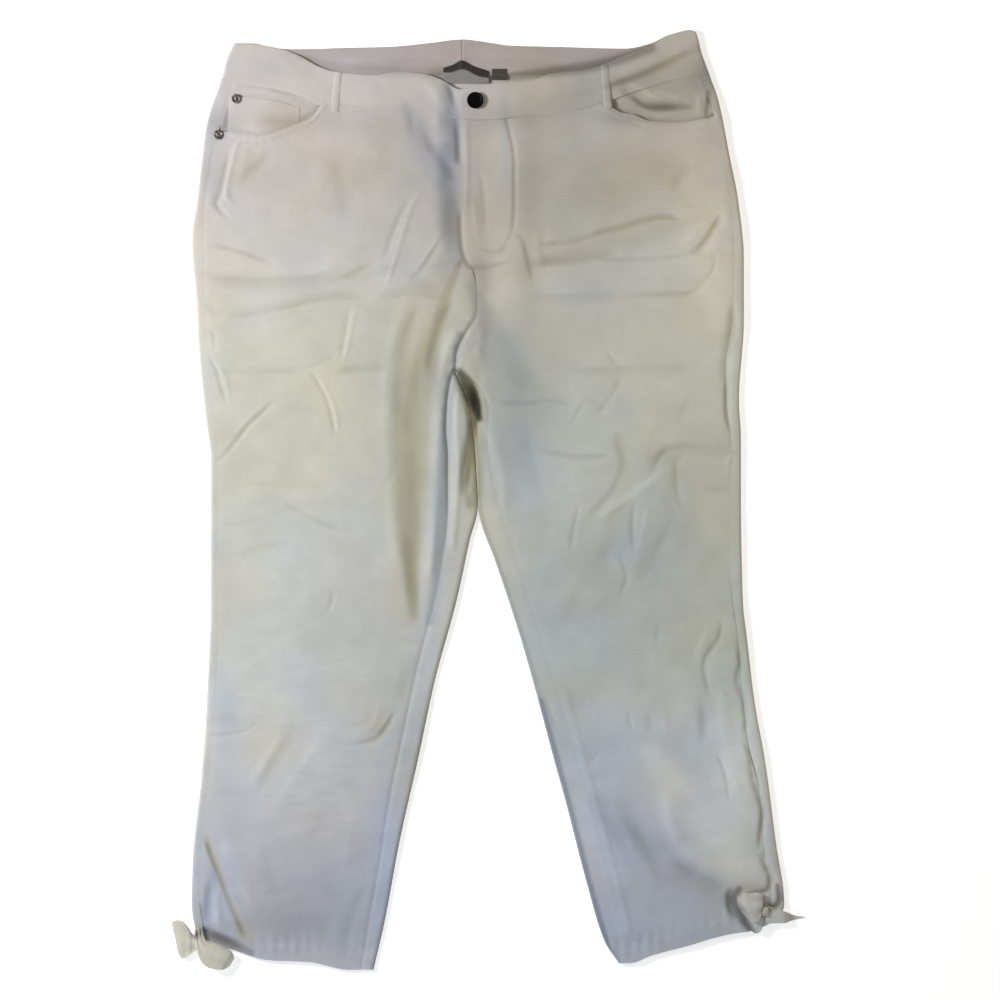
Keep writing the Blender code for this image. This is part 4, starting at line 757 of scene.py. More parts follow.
def crease_relief(x, y, creases):
    """Height that a table of creases adds, each uneven along its length and soft at its ends."""
    total = np.zeros(x.shape)
    for number, (depth, near, far, places) in enumerate(creases):
        widest = max(near, far)
        close = near_places(x, y, places, 3 * widest)
        if not close.any():
            continue
        path = smooth_path(places)
        distance, reached, length, way = along_path(x[close], y[close], path)
        side = (way[0] * LIGHT_WAY[0] + way[1] * LIGHT_WAY[1]) / np.maximum(distance, 1e-6)
        swell = 1 + 0.14 * np.sin(reached / 17 + 2.1 * number) + 0.06 * np.sin(reached / 7 + number)
        taper = 0.8 + 0.2 * np.sin(math.pi * (reached / length))
        width = blend(far, near, ramp(side, -0.45, 0.45)) * taper
        from_end = np.minimum(reached, length - reached)
        fade = ramp(from_end, -1.0, min(max(CREASE_FADE, 4 * widest), 0.4 * length))
        total[close] += depth * fade * swell * nearness(distance, width)
    return total


def groove_relief(x, y, line, places, loud=None):
    """A seam's groove with the puckers that its stitching draws up.

    loud lists (height, strength) where the seam shows more in some places than in others.
    """
    depth, half_width, pucker, reach, pitch = line
    total = np.zeros(x.shape)
    close = near_places(x, y, places, 3 * reach)
    if not close.any():
        return total
    distance, reached, _, _ = along_path(x[close], y[close], smooth_path(places, 3))
    swing = np.sin(2 * math.pi * reached / pitch + 1.9 * np.sin(reached / 37))
    strength = 0.6 + 0.4 * np.sin(reached / 23 + 1.0)
    total[close] = -depth * nearness(distance, half_width)
    total[close] += pucker * swing * strength * nearness(distance, reach)
    return total if loud is None else total * curve(loud, y)


def upright(seam):
    """A (height, x) table as (x, height) places."""
    return [(x, y) for y, x in seam]


def hem_relief(x, y, hem):
    """The turned-up hem: double cloth below a stitched line that puckers."""
    rise = y - curve(hem, x)
    turned = TURN_UP_RISE * (1 - ramp(rise, TURN_UP - 1.2, TURN_UP + 1.2))
    line = rise - TURN_UP + HEM_STITCH_DROP
    swing = np.sin(2 * math.pi * x / 12.5 + 1.6 * np.sin(x / 29) + y / 40)
    pucker = 0.34 * swing * nearness(line, 10) * (0.6 + 0.4 * np.sin(x / 19))
    wave = 0.5 * soft_noise(x, y, 26, 5) * (1 - ramp(rise, 10, 60))
    return np.where(rise < HEM_ZONE, turned - 0.5 * nearness(line, 1.5) + pucker + wave, 0.0)


def broad_relief(x, y):
    """Soft rise and fall of cloth that isn't pressed, broad and fine."""
    broad = 1.25 * soft_noise(x, y, 62, 11) + 0.65 * soft_noise(x, y, 31, 12)
    across = 0.28 * soft_noise(x, y * 2.6, 24, 13) + 0.12 * soft_noise(x * 0.8, y * 3.2, 11, 14)
    fine = 0.06 * soft_noise(x, y, 6.5, 15)
    return broad + across + fine


def mouth_distance(x, y, mouth):
    return along_path(x, y, np.array(mouth, float))[0]


def nearest_mouth(x, y, right_mouth):
    """Distance to the pocket mouth on the place's own side."""
    right, left = (mouth_distance(x, y, mouth) for mouth in (right_mouth, LEFT_MOUTH))
    return np.where(x < 0, right, left)


def inside_lines(x, y, right, left):
    """Millimetres that a place lies inside its own leg's line."""
    return np.where(x < BACK_SEAM_X, x - curve(right, y), curve(left, y) - x)


def base_lie(x, y):
    """Height of the top layer's middle over the floor, without its creases."""
    inside = np.maximum(inside_lines(x, y, RIGHT_OUTER, LEFT_OUTER), 0)
    height = LEG_LIE + EDGE_RISE * nearness(inside, EDGE_REACH)
    high = y > POCKET_ZONE
    if high.any():
        near = nearest_mouth(x[high], y[high], RIGHT_MOUTH[1:])
        height[high] += MOUTH_RISE * nearness(near, MOUTH_REACH)
    placket = ramp(x, *PLACKET_RIGHT_X) * ramp(x, *PLACKET_LEFT_X) * ramp(y, *PLACKET_Y)
    return blend(height, BAND_LIE, placket)


def calm(x, y):
    """How freely the cloth may crease: less beside the waist seam and the pocket mouths."""
    free = np.ones(x.shape)
    high = y > POCKET_ZONE
    if high.any():
        hx, hy = x[high], y[high]
        seam = np.where(hx < BACK_SEAM_X, curve(RIGHT_BAND_SEAM, hx), curve(LEFT_BAND_SEAM, hx))
        held = 0.75 * nearness(nearest_mouth(hx, hy, RIGHT_MOUTH), 12)
        free[high] = (1 - held) * ramp(seam - hy, *SEAM_CALM)
    return free


def stitched_relief(x, y):
    """Grooves of all the seams and stitched lines on the panels."""
    total = np.zeros(x.shape)
    for line, seam, loud in (
        (SEAM_GROOVE, RIGHT_OUTSEAM, RIGHT_SEAM_LOUD), (SEAM_GROOVE, LEFT_OUTSEAM, LEFT_SEAM_LOUD),
        (INSEAM_GROOVE, RIGHT_INSEAM, RIGHT_INSEAM_LOUD),
        (INSEAM_GROOVE, LEFT_INSEAM, LEFT_INSEAM_LOUD), (INSEAM_GROOVE, CROTCH_SEAM, CROTCH_LOUD),
    ):
        total += groove_relief(x, y, line, upright(seam), loud)
    total += groove_relief(x, y, FLY_GROOVE, FLY_STITCH, FLY_LOUD)
    for mouth in (RIGHT_MOUTH[1:], LEFT_MOUTH):
        for drop in MOUTH_STITCHES:
            total += groove_relief(x, y, STITCH_GROOVE, [(px, py - drop) for px, py in mouth])
        from_edge = mouth_distance(x, y, mouth) - MOUTH_FOLD
        total += MOUTH_FOLD_RISE * nearness(from_edge, MOUTH_FOLD_REACH)
    return total


def lie(x, y):
    """Height of the top layer's middle, and how hollow the cloth is there, which sets its painted shade
    and highlight.
    """
    x, y = np.asarray(x, float), np.asarray(y, float)
    free = calm(x, y)
    folded = crease_relief(x, y, RIGHT_CREASES) + crease_relief(x, y, LEFT_CREASES)
    folded += crease_relief(x, y, CLEFT_CREASES)
    seams = stitched_relief(x, y)
    hems = np.where(x < BACK_SEAM_X, hem_relief(x, y, RIGHT_HEM), hem_relief(x, y, LEFT_HEM))
    moved = folded * free + broad_relief(x, y) * (0.35 + 0.65 * free) + seams + hems
    height = base_lie(x, y) + moved
    height = LOWEST_LIE + LIE_SOFTNESS * np.logaddexp(0, (height - LOWEST_LIE) / LIE_SOFTNESS)
    # creases and seams are painted darker as shade, ridges lighter as highlight
    return height, -(CREASE_SHADE * folded * free + SEAM_SHADE * seams)


def underlap(x, y):
    """Share of the fly's drop at a place on the wearer's right front."""
    return ramp(x, *UNDERLAP_X) * ramp(y, *UNDERLAP_Y)


def right_lie(x, y):
    """The wearer's right front, lower where it runs under the fly."""
    height, hollow = lie(x, y)
    under = underlap(x, y)
    # the cloth under the fly's edge is painted darker as shade
    return height - FLY_DROP * under, hollow + UNDERLAP_SHADE * under


def left_lie(x, y):
    """The wearer's left front, thicker where the fly's facing lies behind it."""
    height, hollow = lie(x, y)
    from_stitches = curve([(py, px) for px, py in reversed(FLY_STITCH)], y) - x
    facing = ramp(from_stitches, -1.5, 1.5) * ramp(y, *UNDERLAP_Y)
    return height + FLY_FACING_RISE * facing, hollow


def facing_lie(x, y, mouth):
    """Cloth in a pocket mouth: below the front's edge, and joined to the front at its side."""
    edge = curve(mouth, x)
    above_edge = y - edge
    under_front = base_lie(x, np.minimum(y, edge)) - FACING_DROP
    height = np.minimum(FACING_LIE, under_front) + FACING_CLIMB * np.maximum(0.0, above_edge)
    inside = inside_lines(x, y, RIGHT_OUTSEAM, LEFT_OUTSEAM)
    joined = (1 - ramp(inside, *FACING_JOIN)) * ramp(above_edge, *FACING_JOIN)
    height = blend(height, lie(x, y)[0], joined)
    shown = ramp(above_edge, *FACING_SHOWN)
    relief = crease_relief(x, y, FACING_CREASES) * shown + 0.25 * soft_noise(x, y, 14, 21) * shown
    # creases in the facing are painted darker as shade
    return np.maximum(LOWEST_LIE, height + relief), -relief


def band_right_lie(x):
    return blend(BAND_LIE, UNDERLAP_LIE, ramp(x, *UNDERLAP_X))


def band_left_lie(x):
    return blend(TAB_LIE, BAND_LIE, ramp(x, *TAB_X))


class Right:
    """The wearer's right side: its lines, its heights and where its cloth ends."""

    way = -1
    outer = RIGHT_OUTER
    inner = RIGHT_INNER
    outseam = RIGHT_OUTSEAM
    inseam = RIGHT_INSEAM
    fly = RIGHT_FLY
    hem = RIGHT_HEM
    mouth = RIGHT_MOUTH
    mouth_y = RIGHT_MOUTH_SIDE
    facing_end = -160.0
    band_top = RIGHT_BAND_TOP
    band_seam = RIGHT_BAND_SEAM
    band_side = RIGHT_SIDE_BAND
    band_ends = (-267.5, 8.0)
    band_lie = band_right_lie
    front_lie = right_lie


class Left:
    """The wearer's left side."""

    way = 1
    outer = LEFT_OUTER
    inner = LEFT_INNER
    outseam = LEFT_OUTSEAM
    inseam = LEFT_INSEAM
    fly = FLY_EDGE
    hem = LEFT_HEM
    mouth = LEFT_MOUTH
    mouth_y = LEFT_MOUTH_SIDE
    facing_end = 106.0
    band_top = LEFT_BAND_TOP
    band_seam = LEFT_BAND_SEAM
    band_side = LEFT_SIDE_BAND
    band_ends = (223.5, -27.5)
    band_lie = band_left_lie
    front_lie = left_lie


# ---------------------------------------------------------------- materials

# A diagonal wave texture of scale 1 repeats every 0.628, and the wales are 0.85 mm wide
WALE_SCALE = 0.628 / (0.85 * MM)
PICK_SCALE = 1.7 * WALE_SCALE
SLUB = 0.10
WEFT_SCALES = (45.0, 620.0, 1.0)
WARP_SCALES = (560.0, 55.0, 1.0)
WEAVE_DEPTH = 0.10
CRINKLE_DEPTH = 0.35
# Spans of a value, each with the shades at its two ends
YARN_SHADE = (0.1, 0.9, 0.98, 1.01)
CLOUD_SHADE = (0.3, 0.7, 0.955, 1.03)
FLECK_SHADE = (0.25, 0.75, 0.972, 1.022)
LINT_SHADE = (0.3, 0.7, 0.86, 1.04)
# Hollowness (a ridge is negative) over which the painted highlight of ridges and the painted shade of
# hollows and clefts set in
RIDGE_SPAN = (-0.05, -2.4)
HOLLOW_SPAN = (0.05, 3.4)
DEEP_SPAN = (3.6, 9.0)


def add_node(tree, kind, **settings):
    node = tree.nodes.new(kind)
    for key, value in settings.items():
        setattr(node, key, value)
    return node


def put_in(tree, socket, value):
    """Links a socket to another one's value, or sets it to a number, a place or a colour."""
    if isinstance(value, bpy.types.NodeSocket):
        tree.links.new(value, socket)
    elif socket.type == "RGBA" and isinstance(value, tuple):
        socket.default_value = value[:3] + (1.0,)
    else:
        socket.default_value = value


def plug(tree, node, **values):
    """Fills a node's inputs by name, with underscores for spaces."""
    for key, value in values.items():
        put_in(tree, node.inputs[key.replace("_", " ")], value)
    return node


def calculate(tree, operation, first, second):
    node = add_node(tree, "ShaderNodeMath", operation=operation)
    put_in(tree, node.inputs[0], first)
    put_in(tree, node.inputs[1], second)
    return node.outputs[0]


def mix_colour(tree, share, first, second, mode="MIX"):
    node = add_node(tree, "ShaderNodeMix", data_type="RGBA", blend_type=mode)
    for number, value in ((0, share), (6, first), (7, second)):
        put_in(tree, node.inputs[number], value)
    return node.outputs[2]


def spread(tree, value, low, high, to_low=0.0, to_high=1.0):
    """A value moved from one range to another, clamped."""
    node = add_node(tree, "ShaderNodeMapRange", clamp=True)
    plug(tree, node, Value=value, From_Min=low, From_Max=high, To_Min=to_low, To_Max=to_high)
    return node.outputs["Result"]


def grey(tree, value):
    node = add_node(tree, "ShaderNodeCombineColor")
    for socket in node.inputs:
        tree.links.new(value, socket)
    return node.outputs[0]


def shaded(tree, colour, value, span):
    """The colour made darker or lighter by a value, whose span gives its ends and their shades."""
    return mix_colour(tree, 1.0, colour, grey(tree, spread(tree, value, *span)), "MULTIPLY")


def tinted(tree, colour, value, span, tint):
    """The colour multiplied by a tint that sets in over a value's span."""
    return mix_colour(tree, spread(tree, value, *span), colour, tint, "MULTIPLY")


def object_place(tree):
    return add_node(tree, "ShaderNodeTexCoord").outputs["Object"]


def mapped_place(tree, name):
    return add_node(tree, "ShaderNodeUVMap", uv_map=name).outputs[0]


def axes(tree, place):
    """A place's numbers, by axis."""
    node = add_node(tree, "ShaderNodeSeparateXYZ")
    tree.links.new(place, node.inputs[0])
    return node.outputs


def attribute(tree, name):
    return add_node(tree, "ShaderNodeAttribute", attribute_name=name).outputs["Fac"]


def noise(tree, place, **values):
    return plug(tree, add_node(tree, "ShaderNodeTexNoise"), Vector=place, **values).outputs[0]


def stretched_noise(tree, place, scales, **values):
    """Noise with a scale of its own along each axis."""
    stretched = plug(tree, add_node(tree, "ShaderNodeMapping"), Vector=place, Scale=scales)
    return noise(tree, stretched.outputs[0], Scale=1.0, **values)


def ribs(tree, place, direction, **values):
    node = add_node(tree, "ShaderNodeTexWave", wave_type="BANDS", bands_direction=direction)
    return plug(tree, node, Vector=place, **values).outputs["Fac"]


def bump(tree, height, strength, depth, **values):
    """Relief in the material alone; its depth is in millimetres."""
    node = add_node(tree, "ShaderNodeBump")
    plug(tree, node, Height=height, Strength=strength, Distance=depth * MM, **values)
    return node.outputs[0]


def open_group(name, place, results):
    """An empty node group: a place goes in and numbers come out at its end node."""
    group = bpy.data.node_groups.new(name, "ShaderNodeTree")
    group.interface.new_socket(place, in_out="INPUT", socket_type="NodeSocketVector")
    for result in results:
        group.interface.new_socket(result, in_out="OUTPUT", socket_type="NodeSocketFloat")
    start = add_node(group, "NodeGroupInput")
    return group, start.outputs[0], add_node(group, "NodeGroupOutput")


def use_group(tree, group, place):
    """The results of a node group at a place, by name."""
    node = add_node(tree, "ShaderNodeGroup", node_tree=group)
    tree.links.new(place, node.inputs[0])
    return node.outputs


def open_material(name):
    """A new material, its node tree and its shader."""
    material = bpy.data.materials.new(name)
    material.use_nodes = True
    return material, material.node_tree, material.node_tree.nodes["Principled BSDF"]


def make_twill_weave():
    """Diagonal wales crossed by fine picks, with thicker and thinner yarns among them."""
    group, grain, end = open_group("twill_weave", "Grain", ("Height", "Yarn"))
    wales = ribs(group, grain, "DIAGONAL", Scale=WALE_SCALE, Distortion=0.8, Detail=1.0,
                 Detail_Scale=1.6)
    picks = ribs(group, grain, "Y", Scale=PICK_SCALE, Distortion=0.6)
    weft = stretched_noise(group, grain, WEFT_SCALES, Detail=3.0)
    warp = stretched_noise(group, grain, WARP_SCALES, Detail=3.0)
    slub = spread(group, calculate(group, "ADD", weft, warp), 0.65, 1.35)

    def part(value, share):
        return calculate(group, "MULTIPLY", value, share)

    weave = calculate(group, "ADD", wales, part(picks, 0.35))
    height = calculate(group, "ADD", weave, part(slub, SLUB))
    yarn = calculate(group, "ADD", part(wales, 0.45), part(slub, 0.55))
    plug(group, end, Height=height, Yarn=yarn)
    return group


def make_cloth_tone():
    """Warmth of colour, painted warmer up the leg as the light's colour and uneven at random, uneven
    depth of colour, fine flecks, and the relief of small wrinkles.
    """
    group, place, end = open_group(
        "cloth_tone", "Place", ("Warmth", "Cloud", "Fleck", "Crinkle")
    )
    broad = noise(group, place, Scale=6.5, Detail=2.0)
    # warmer up the leg: the light's colour, painted
    painted_warmth_up_leg = spread(group, axes(group, place)["Y"], -0.46, 0.12, 0.0, 0.75)
    warmth = calculate(group, "ADD", painted_warmth_up_leg, spread(group, broad, 0.35, 0.68, -0.3, 0.45))
    plug(
        group, end,
        Warmth=spread(group, warmth, 0.0, 1.0),
        Cloud=noise(group, place, Scale=38.0, Detail=4.0),
        Fleck=stretched_noise(group, place, (170.0, 420.0, 200.0), Detail=2.0),
        Crinkle=stretched_noise(group, place, (22.0, 60.0, 40.0), Detail=4.0, Distortion=0.9),
    )
    return group


def cloth_finish(name, warm, cool, leaning=True):
    """Matt twill: woven relief, uneven tone, painted shade in the hollows and painted highlight on
    ridges, painted light, shade and light colour from the sheet's tones, and a soft nap.

    leaning says whether the colour takes the painted green and lilac casts of the light along the legs.
    """
    material, tree, shader = open_material(name)
    weave = use_group(tree, TWILL_WEAVE, mapped_place(tree, "grain"))
    tone = use_group(tree, CLOTH_TONE, object_place(tree))
    hollow, warmth = attribute(tree, "hollow"), attribute(tree, "warmth")
    colour = mix_colour(tree, tone["Warmth"], cool, warm)
    colour = shaded(tree, colour, weave["Yarn"], YARN_SHADE)
    colour = shaded(tree, colour, tone["Cloud"], CLOUD_SHADE)
    colour = tinted(tree, colour, warmth, (0.0, 1.2), WARM_TINT)
    colour = tinted(tree, colour, warmth, (0.0, -1.2), COOL_TINT)
    colour = shaded(tree, colour, tone["Fleck"], FLECK_SHADE)
    hollow_shade_tint = mix_colour(tree, spread(tree, warmth, -0.7, 0.4), HOLLOW_SHADE_COOL, HOLLOW_SHADE_WARM)
    colour = tinted(tree, colour, hollow, RIDGE_SPAN, RIDGE_HIGHLIGHT)
    colour = mix_colour(tree, spread(tree, hollow, *HOLLOW_SPAN), colour, hollow_shade_tint)
    colour = mix_colour(tree, spread(tree, hollow, *DEEP_SPAN), colour, DEEPEST_SHADE)
    if leaning:
        cast = attribute(tree, "cast")
        colour = tinted(tree, colour, cast, (0.0, 1.5), GREEN_TINT)
        colour = tinted(tree, colour, cast, (0.0, -1.0), LILAC_TINT)
    # painted shade, and painted light where the shade is negative
    light = calculate(tree, "SUBTRACT", 1.0, attribute(tree, "shade"))
    colour = mix_colour(tree, 1.0, colour, grey(tree, light), "MULTIPLY")
    crinkle = bump(tree, tone["Crinkle"], 0.7, CRINKLE_DEPTH)
    relief = bump(tree, weave["Height"], 0.55, WEAVE_DEPTH, Normal=crinkle)
    plug(tree, shader, Base_Color=colour, Normal=relief, Roughness=0.88,
         Sheen_Weight=0.18, Sheen_Roughness=0.45, Specular_IOR_Level=0.25)
    return material


def thread_finish():
    """Spun thread: fine twist along its length, a little shinier than the cloth."""
    material, tree, shader = open_material("sewing_thread")
    place = object_place(tree)
    twist = ribs(tree, place, "DIAGONAL", Scale=1300.0, Distortion=0.4)
    lint = noise(tree, place, Scale=240.0, Detail=2.0)
    plug(tree, shader, Base_Color=shaded(tree, THREAD_CREAM, lint, LINT_SHADE),
         Normal=bump(tree, twist, 0.5, 0.08), Roughness=0.62, Specular_IOR_Level=0.35)
    return material


def label_finish():
    """Blank satin label: ground darkened grey as painted shade, with a dark border along its top, wider
    at one end.
    """
    material, tree, shader = open_material("label_satin")
    grain = mapped_place(tree, "grain")
    span = axes(tree, mapped_place(tree, "span"))
    rib = ribs(tree, grain, "Y", Scale=1500.0, Distortion=0.3)
    fray = noise(tree, grain, Scale=900.0, Detail=2.0)
    edge = calculate(tree, "ADD", span["Y"], calculate(tree, "MULTIPLY", fray, 0.06))
    edge = calculate(tree, "ADD", edge, spread(tree, span["X"], 0.58, 0.80, 0.0, 0.17))
    ground = mix_colour(tree, spread(tree, fray, 0.3, 0.7), *LABEL_SHADED_GROUND)
    dark = mix_colour(tree, rib, *LABEL_DARK)
    colour = mix_colour(tree, spread(tree, edge, 0.60, 0.68), ground, dark)
    plug(tree, shader, Base_Color=colour, Normal=bump(tree, rib, 0.4, 0.05),
         Roughness=0.45, Specular_IOR_Level=0.45)
    return material


def tag_finish():
    """Small dark woven tag, plain."""
    material, tree, shader = open_material("size_tag_weave")
    grain = mapped_place(tree, "grain")
    rib = ribs(tree, grain, "X", Scale=1400.0, Distortion=0.4)
    dust = noise(tree, grain, Scale=420.0, Detail=3.0)
    colour = mix_colour(tree, spread(tree, dust, 0.3, 0.75), *TAG_DARK)
    plug(tree, shader, Base_Color=colour, Normal=bump(tree, rib, 0.5, 0.06), Roughness=0.7)
    return material


def metal_finish(name, colour, worn, roughness, wear_low, wear_high):
    """Plated metal, darkest where the plating is whole and paler where it has rubbed."""
    material, tree, shader = open_material(name)
    place = object_place(tree)
    wear = spread(tree, noise(tree, place, Scale=330.0, Detail=4.0), wear_low, wear_high)
    grainy = noise(tree, place, Scale=1500.0, Detail=2.0)
    plug(tree, shader, Base_Color=mix_colour(tree, wear, colour, worn), Metallic=1.0,
         Roughness=spread(tree, grainy, 0.3, 0.7, roughness - 0.06, roughness + 0.10),
         Normal=bump(tree, grainy, 0.25, 0.04))
    return material


# ---------------------------------------------------------------- sheets

# Angles in degrees: edges sharper than these are rounded off, or kept crisp in the shading
RIM_ANGLE = 55
SHEET_SMOOTH = 52


def finish_piece(piece, slot, *nodes):
    """Hands a piece to the frame: it rides the garment and stands for its solids."""
    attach(piece, "root")
    if nodes:
        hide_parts(*nodes)


def only(piece):
    """Makes a piece the one selected and active object."""
    bpy.ops.object.select_all(action="DESELECT")
    piece.select_set(True)
    bpy.context.view_layer.objects.active = piece


def soften_edges(piece, width, segments, angle):
    bevel = piece.modifiers.new("soft_edge", "BEVEL")
    bevel.width = width * MM
    bevel.segments = segments
    bevel.angle_limit = math.radians(angle)


def apply_modifiers(piece, smooth_angle):
    """Applies a piece's modifiers and shades it smooth but for its sharper edges."""
    only(piece)
    for modifier in list(piece.modifiers):
        bpy.ops.object.modifier_apply(modifier=modifier.name)
    bpy.ops.object.shade_smooth_by_angle(angle=math.radians(smooth_angle))


def corner_vertices(mesh):
    """The vertex at each corner of each face."""
    corners = np.empty(len(mesh.loops), np.int32)
    mesh.loops.foreach_get("vertex_index", corners)
    return corners


def put_uv(mesh, name, corners, values):
    layer = mesh.uv_layers.new(name=name)
    layer.data.foreach_set("uv", values.reshape(-1, 2)[corners].astype(np.float32).ravel())


def grid_faces(index):
    """Four-sided faces over a grid of vertex numbers."""
    quads = np.stack([index[:-1, :-1], index[:-1, 1:], index[1:, 1:], index[1:, :-1]], axis=-1)
    return quads.reshape(-1, 4)


def rim_faces(upper, under, flip):
    """Faces between a fine upper edge and the coarser edge below it."""
    faces = []
    for k in range(len(under) - 1):
        fine = upper[k * UNDER_STEP:(k + 1) * UNDER_STEP + 1]
        face = [under[k], under[k + 1]] + fine[::-1]
        faces.append(face[::-1] if flip else face)
    return faces


def walled(x, y, z, wall):
    """Points and faces of a sheet with a coarser underside, and the grid place of each point."""
    rows, columns = x.shape
    index = np.arange(rows * columns).reshape(rows, columns)
    padded = np.pad(z, UNDER_STEP, mode="edge")
    steps = range(2 * UNDER_STEP + 1)
    lowest = np.min([padded[i:i + rows, j:j + columns] for i in steps for j in steps], axis=0)
    coarse = index[::UNDER_STEP, ::UNDER_STEP]
    upper = np.stack([x, y, z + wall / 2], axis=-1).reshape(-1, 3)
    lower = np.stack([x, y, lowest - wall / 2], axis=-1).reshape(-1, 3)[coarse.ravel()]
    under = rows * columns + np.arange(coarse.size).reshape(coarse.shape)
    faces = grid_faces(index).tolist() + grid_faces(under)[:, ::-1].tolist()
    faces += rim_faces(index[0].tolist(), under[0].tolist(), False)
    faces += rim_faces(index[-1].tolist(), under[-1].tolist(), True)
    faces += rim_faces(index[:, 0].tolist(), under[:, 0].tolist(), True)
    faces += rim_faces(index[:, -1].tolist(), under[:, -1].tolist(), False)
    return np.concatenate([upper, lower]), faces, np.concatenate([index.ravel(), coarse.ravel()])


def sheet(name, x, y, z, wall, materials, hollow=0.0, grain=None, rim=0.0, back_columns=None,
          fine=False):
    """A sheet of cloth over a grid of places, with its wall, its grain and its hollows."""
    rows, columns = x.shape
    if fine:
        points, faces, source = walled(x, y, z, wall)
    else:
        source = np.arange(rows * columns)
        points = np.stack([x, y, z], axis=-1).reshape(-1, 3)
        faces = grid_faces(source.reshape(rows, columns)).tolist()
    mesh = bpy.data.meshes.new(name)
    mesh.from_pydata((points * MM).tolist(), [], faces)
    corners = source[corner_vertices(mesh)]
    grain = np.stack([x, y], axis=-1) if grain is None else grain
    put_uv(mesh, "grain", corners, grain * MM)
    across, up = np.meshgrid(np.linspace(0, 1, columns), np.linspace(0, 1, rows))
    put_uv(mesh, "span", corners, np.stack([across, up], axis=-1))
    # attributes that carry painted shade in hollows, painted highlight on ridges, and painted light,
    # shade and light colour
    tones = (hollow + np.zeros(x.shape), *cloth_tones(x, y))
    for label, values in zip(("hollow", "warmth", "shade", "cast"), tones):
        layer = mesh.attributes.new(label, "FLOAT", "POINT")
        layer.data.foreach_set("value", values.ravel()[source].astype(np.float32))
    for material in materials:
        mesh.materials.append(material)
    if back_columns is not None:
        second = np.broadcast_to(back_columns[None, :-1], (rows - 1, columns - 1))
        mesh.polygons.foreach_set("material_index", second.astype(np.int32).ravel())
    piece = bpy.data.objects.new(name, mesh)
    bpy.context.scene.collection.objects.link(piece)
    if not fine:
        solidify = piece.modifiers.new("wall", "SOLIDIFY")
        solidify.thickness = wall * MM
        solidify.offset = 0.0
    if rim:
        soften_edges(piece, rim, 2, RIM_ANGLE)
    apply_modifiers(piece, SHEET_SMOOTH)
    return piece


# ---------------------------------------------------------------- panels

def row_places(hem, crotch, top):
    """Heights of a front's rows along one edge."""
    lower = np.linspace(hem, KNEE_HEIGHT, LOWER_ROWS + 1)
    thigh = np.linspace(KNEE_HEIGHT, crotch, THIGH_ROWS + 1)[1:]
    hip = np.linspace(crotch, top, HIP_ROWS + 1)[1:]
    return np.concatenate([lower, thigh, hip])


def hem_height(hem, seam):
    """Height of the hem where a seam reaches it."""
    return curve(hem, curve(seam, seam[0][0]))


def front_top(x, side):
    """Top edge of a front: the pocket mouth at the side, and the waist seam from there on."""
    in_mouth = x < side.mouth[-1][0] if side.way < 0 else x > side.mouth[0][0]
    return np.where(in_mouth, curve(side.mouth, x), curve(side.band_seam, x) - SEAM_GAP / 2)


def front_places(side):
    """Plan of a front from hem to waist seam."""
    way = side.way
    outer_x, inner_x = beside(side.outseam, np.array(side.mouth_y), -way), side.fly[-1][1]
    ends = (outer_x, inner_x) if way < 0 else (inner_x, outer_x)
    share = np.linspace(0, 1, FRONT_COLUMNS + 1)
    top_x = blend(ends[0], ends[1], share)
    top_y = front_top(top_x, side)
    outer_index, inner_index = (0, -1) if way < 0 else (-1, 0)
    outer_y = row_places(hem_height(side.hem, side.outseam), CROTCH_HEIGHT, top_y[outer_index])
    inner_y = row_places(hem_height(side.hem, side.inseam), CROTCH_HEIGHT, top_y[inner_index])
    x_outer = beside(side.outseam, outer_y, -way)
    leg = beside(side.inseam, inner_y, way)
    centre = beside(CROTCH_SEAM[:-1] + side.fly, inner_y, way)
    x_inner = np.where(inner_y < CROTCH_HEIGHT + 0.1, leg, centre)
    x_inner[-1] = top_x[inner_index]
    sides = (x_outer, outer_y, x_inner, inner_y) if way < 0 else (x_inner, inner_y, x_outer, outer_y)
    x = blend(sides[0][:, None], sides[2][:, None], share[None, :])
    y = blend(sides[1][:, None], sides[3][:, None], share[None, :])
    up = np.linspace(0, 1, len(outer_y))[:, None]
    hem_bow = curve(side.hem, x) - blend(sides[1][0], sides[3][0], share)[None, :]
    top_bow = (top_y - blend(sides[1][-1], sides[3][-1], share))[None, :]
    return x, y + hem_bow * (1 - up) ** 3 + top_bow * up ** 3


def front_panel(name, side):
    x, y = front_places(side)
    z, hollow = side.front_lie(x, y)
    return sheet(name, x, y, z, CLOTH_WALL, [CLOTH["twill"]], hollow, fine=True)


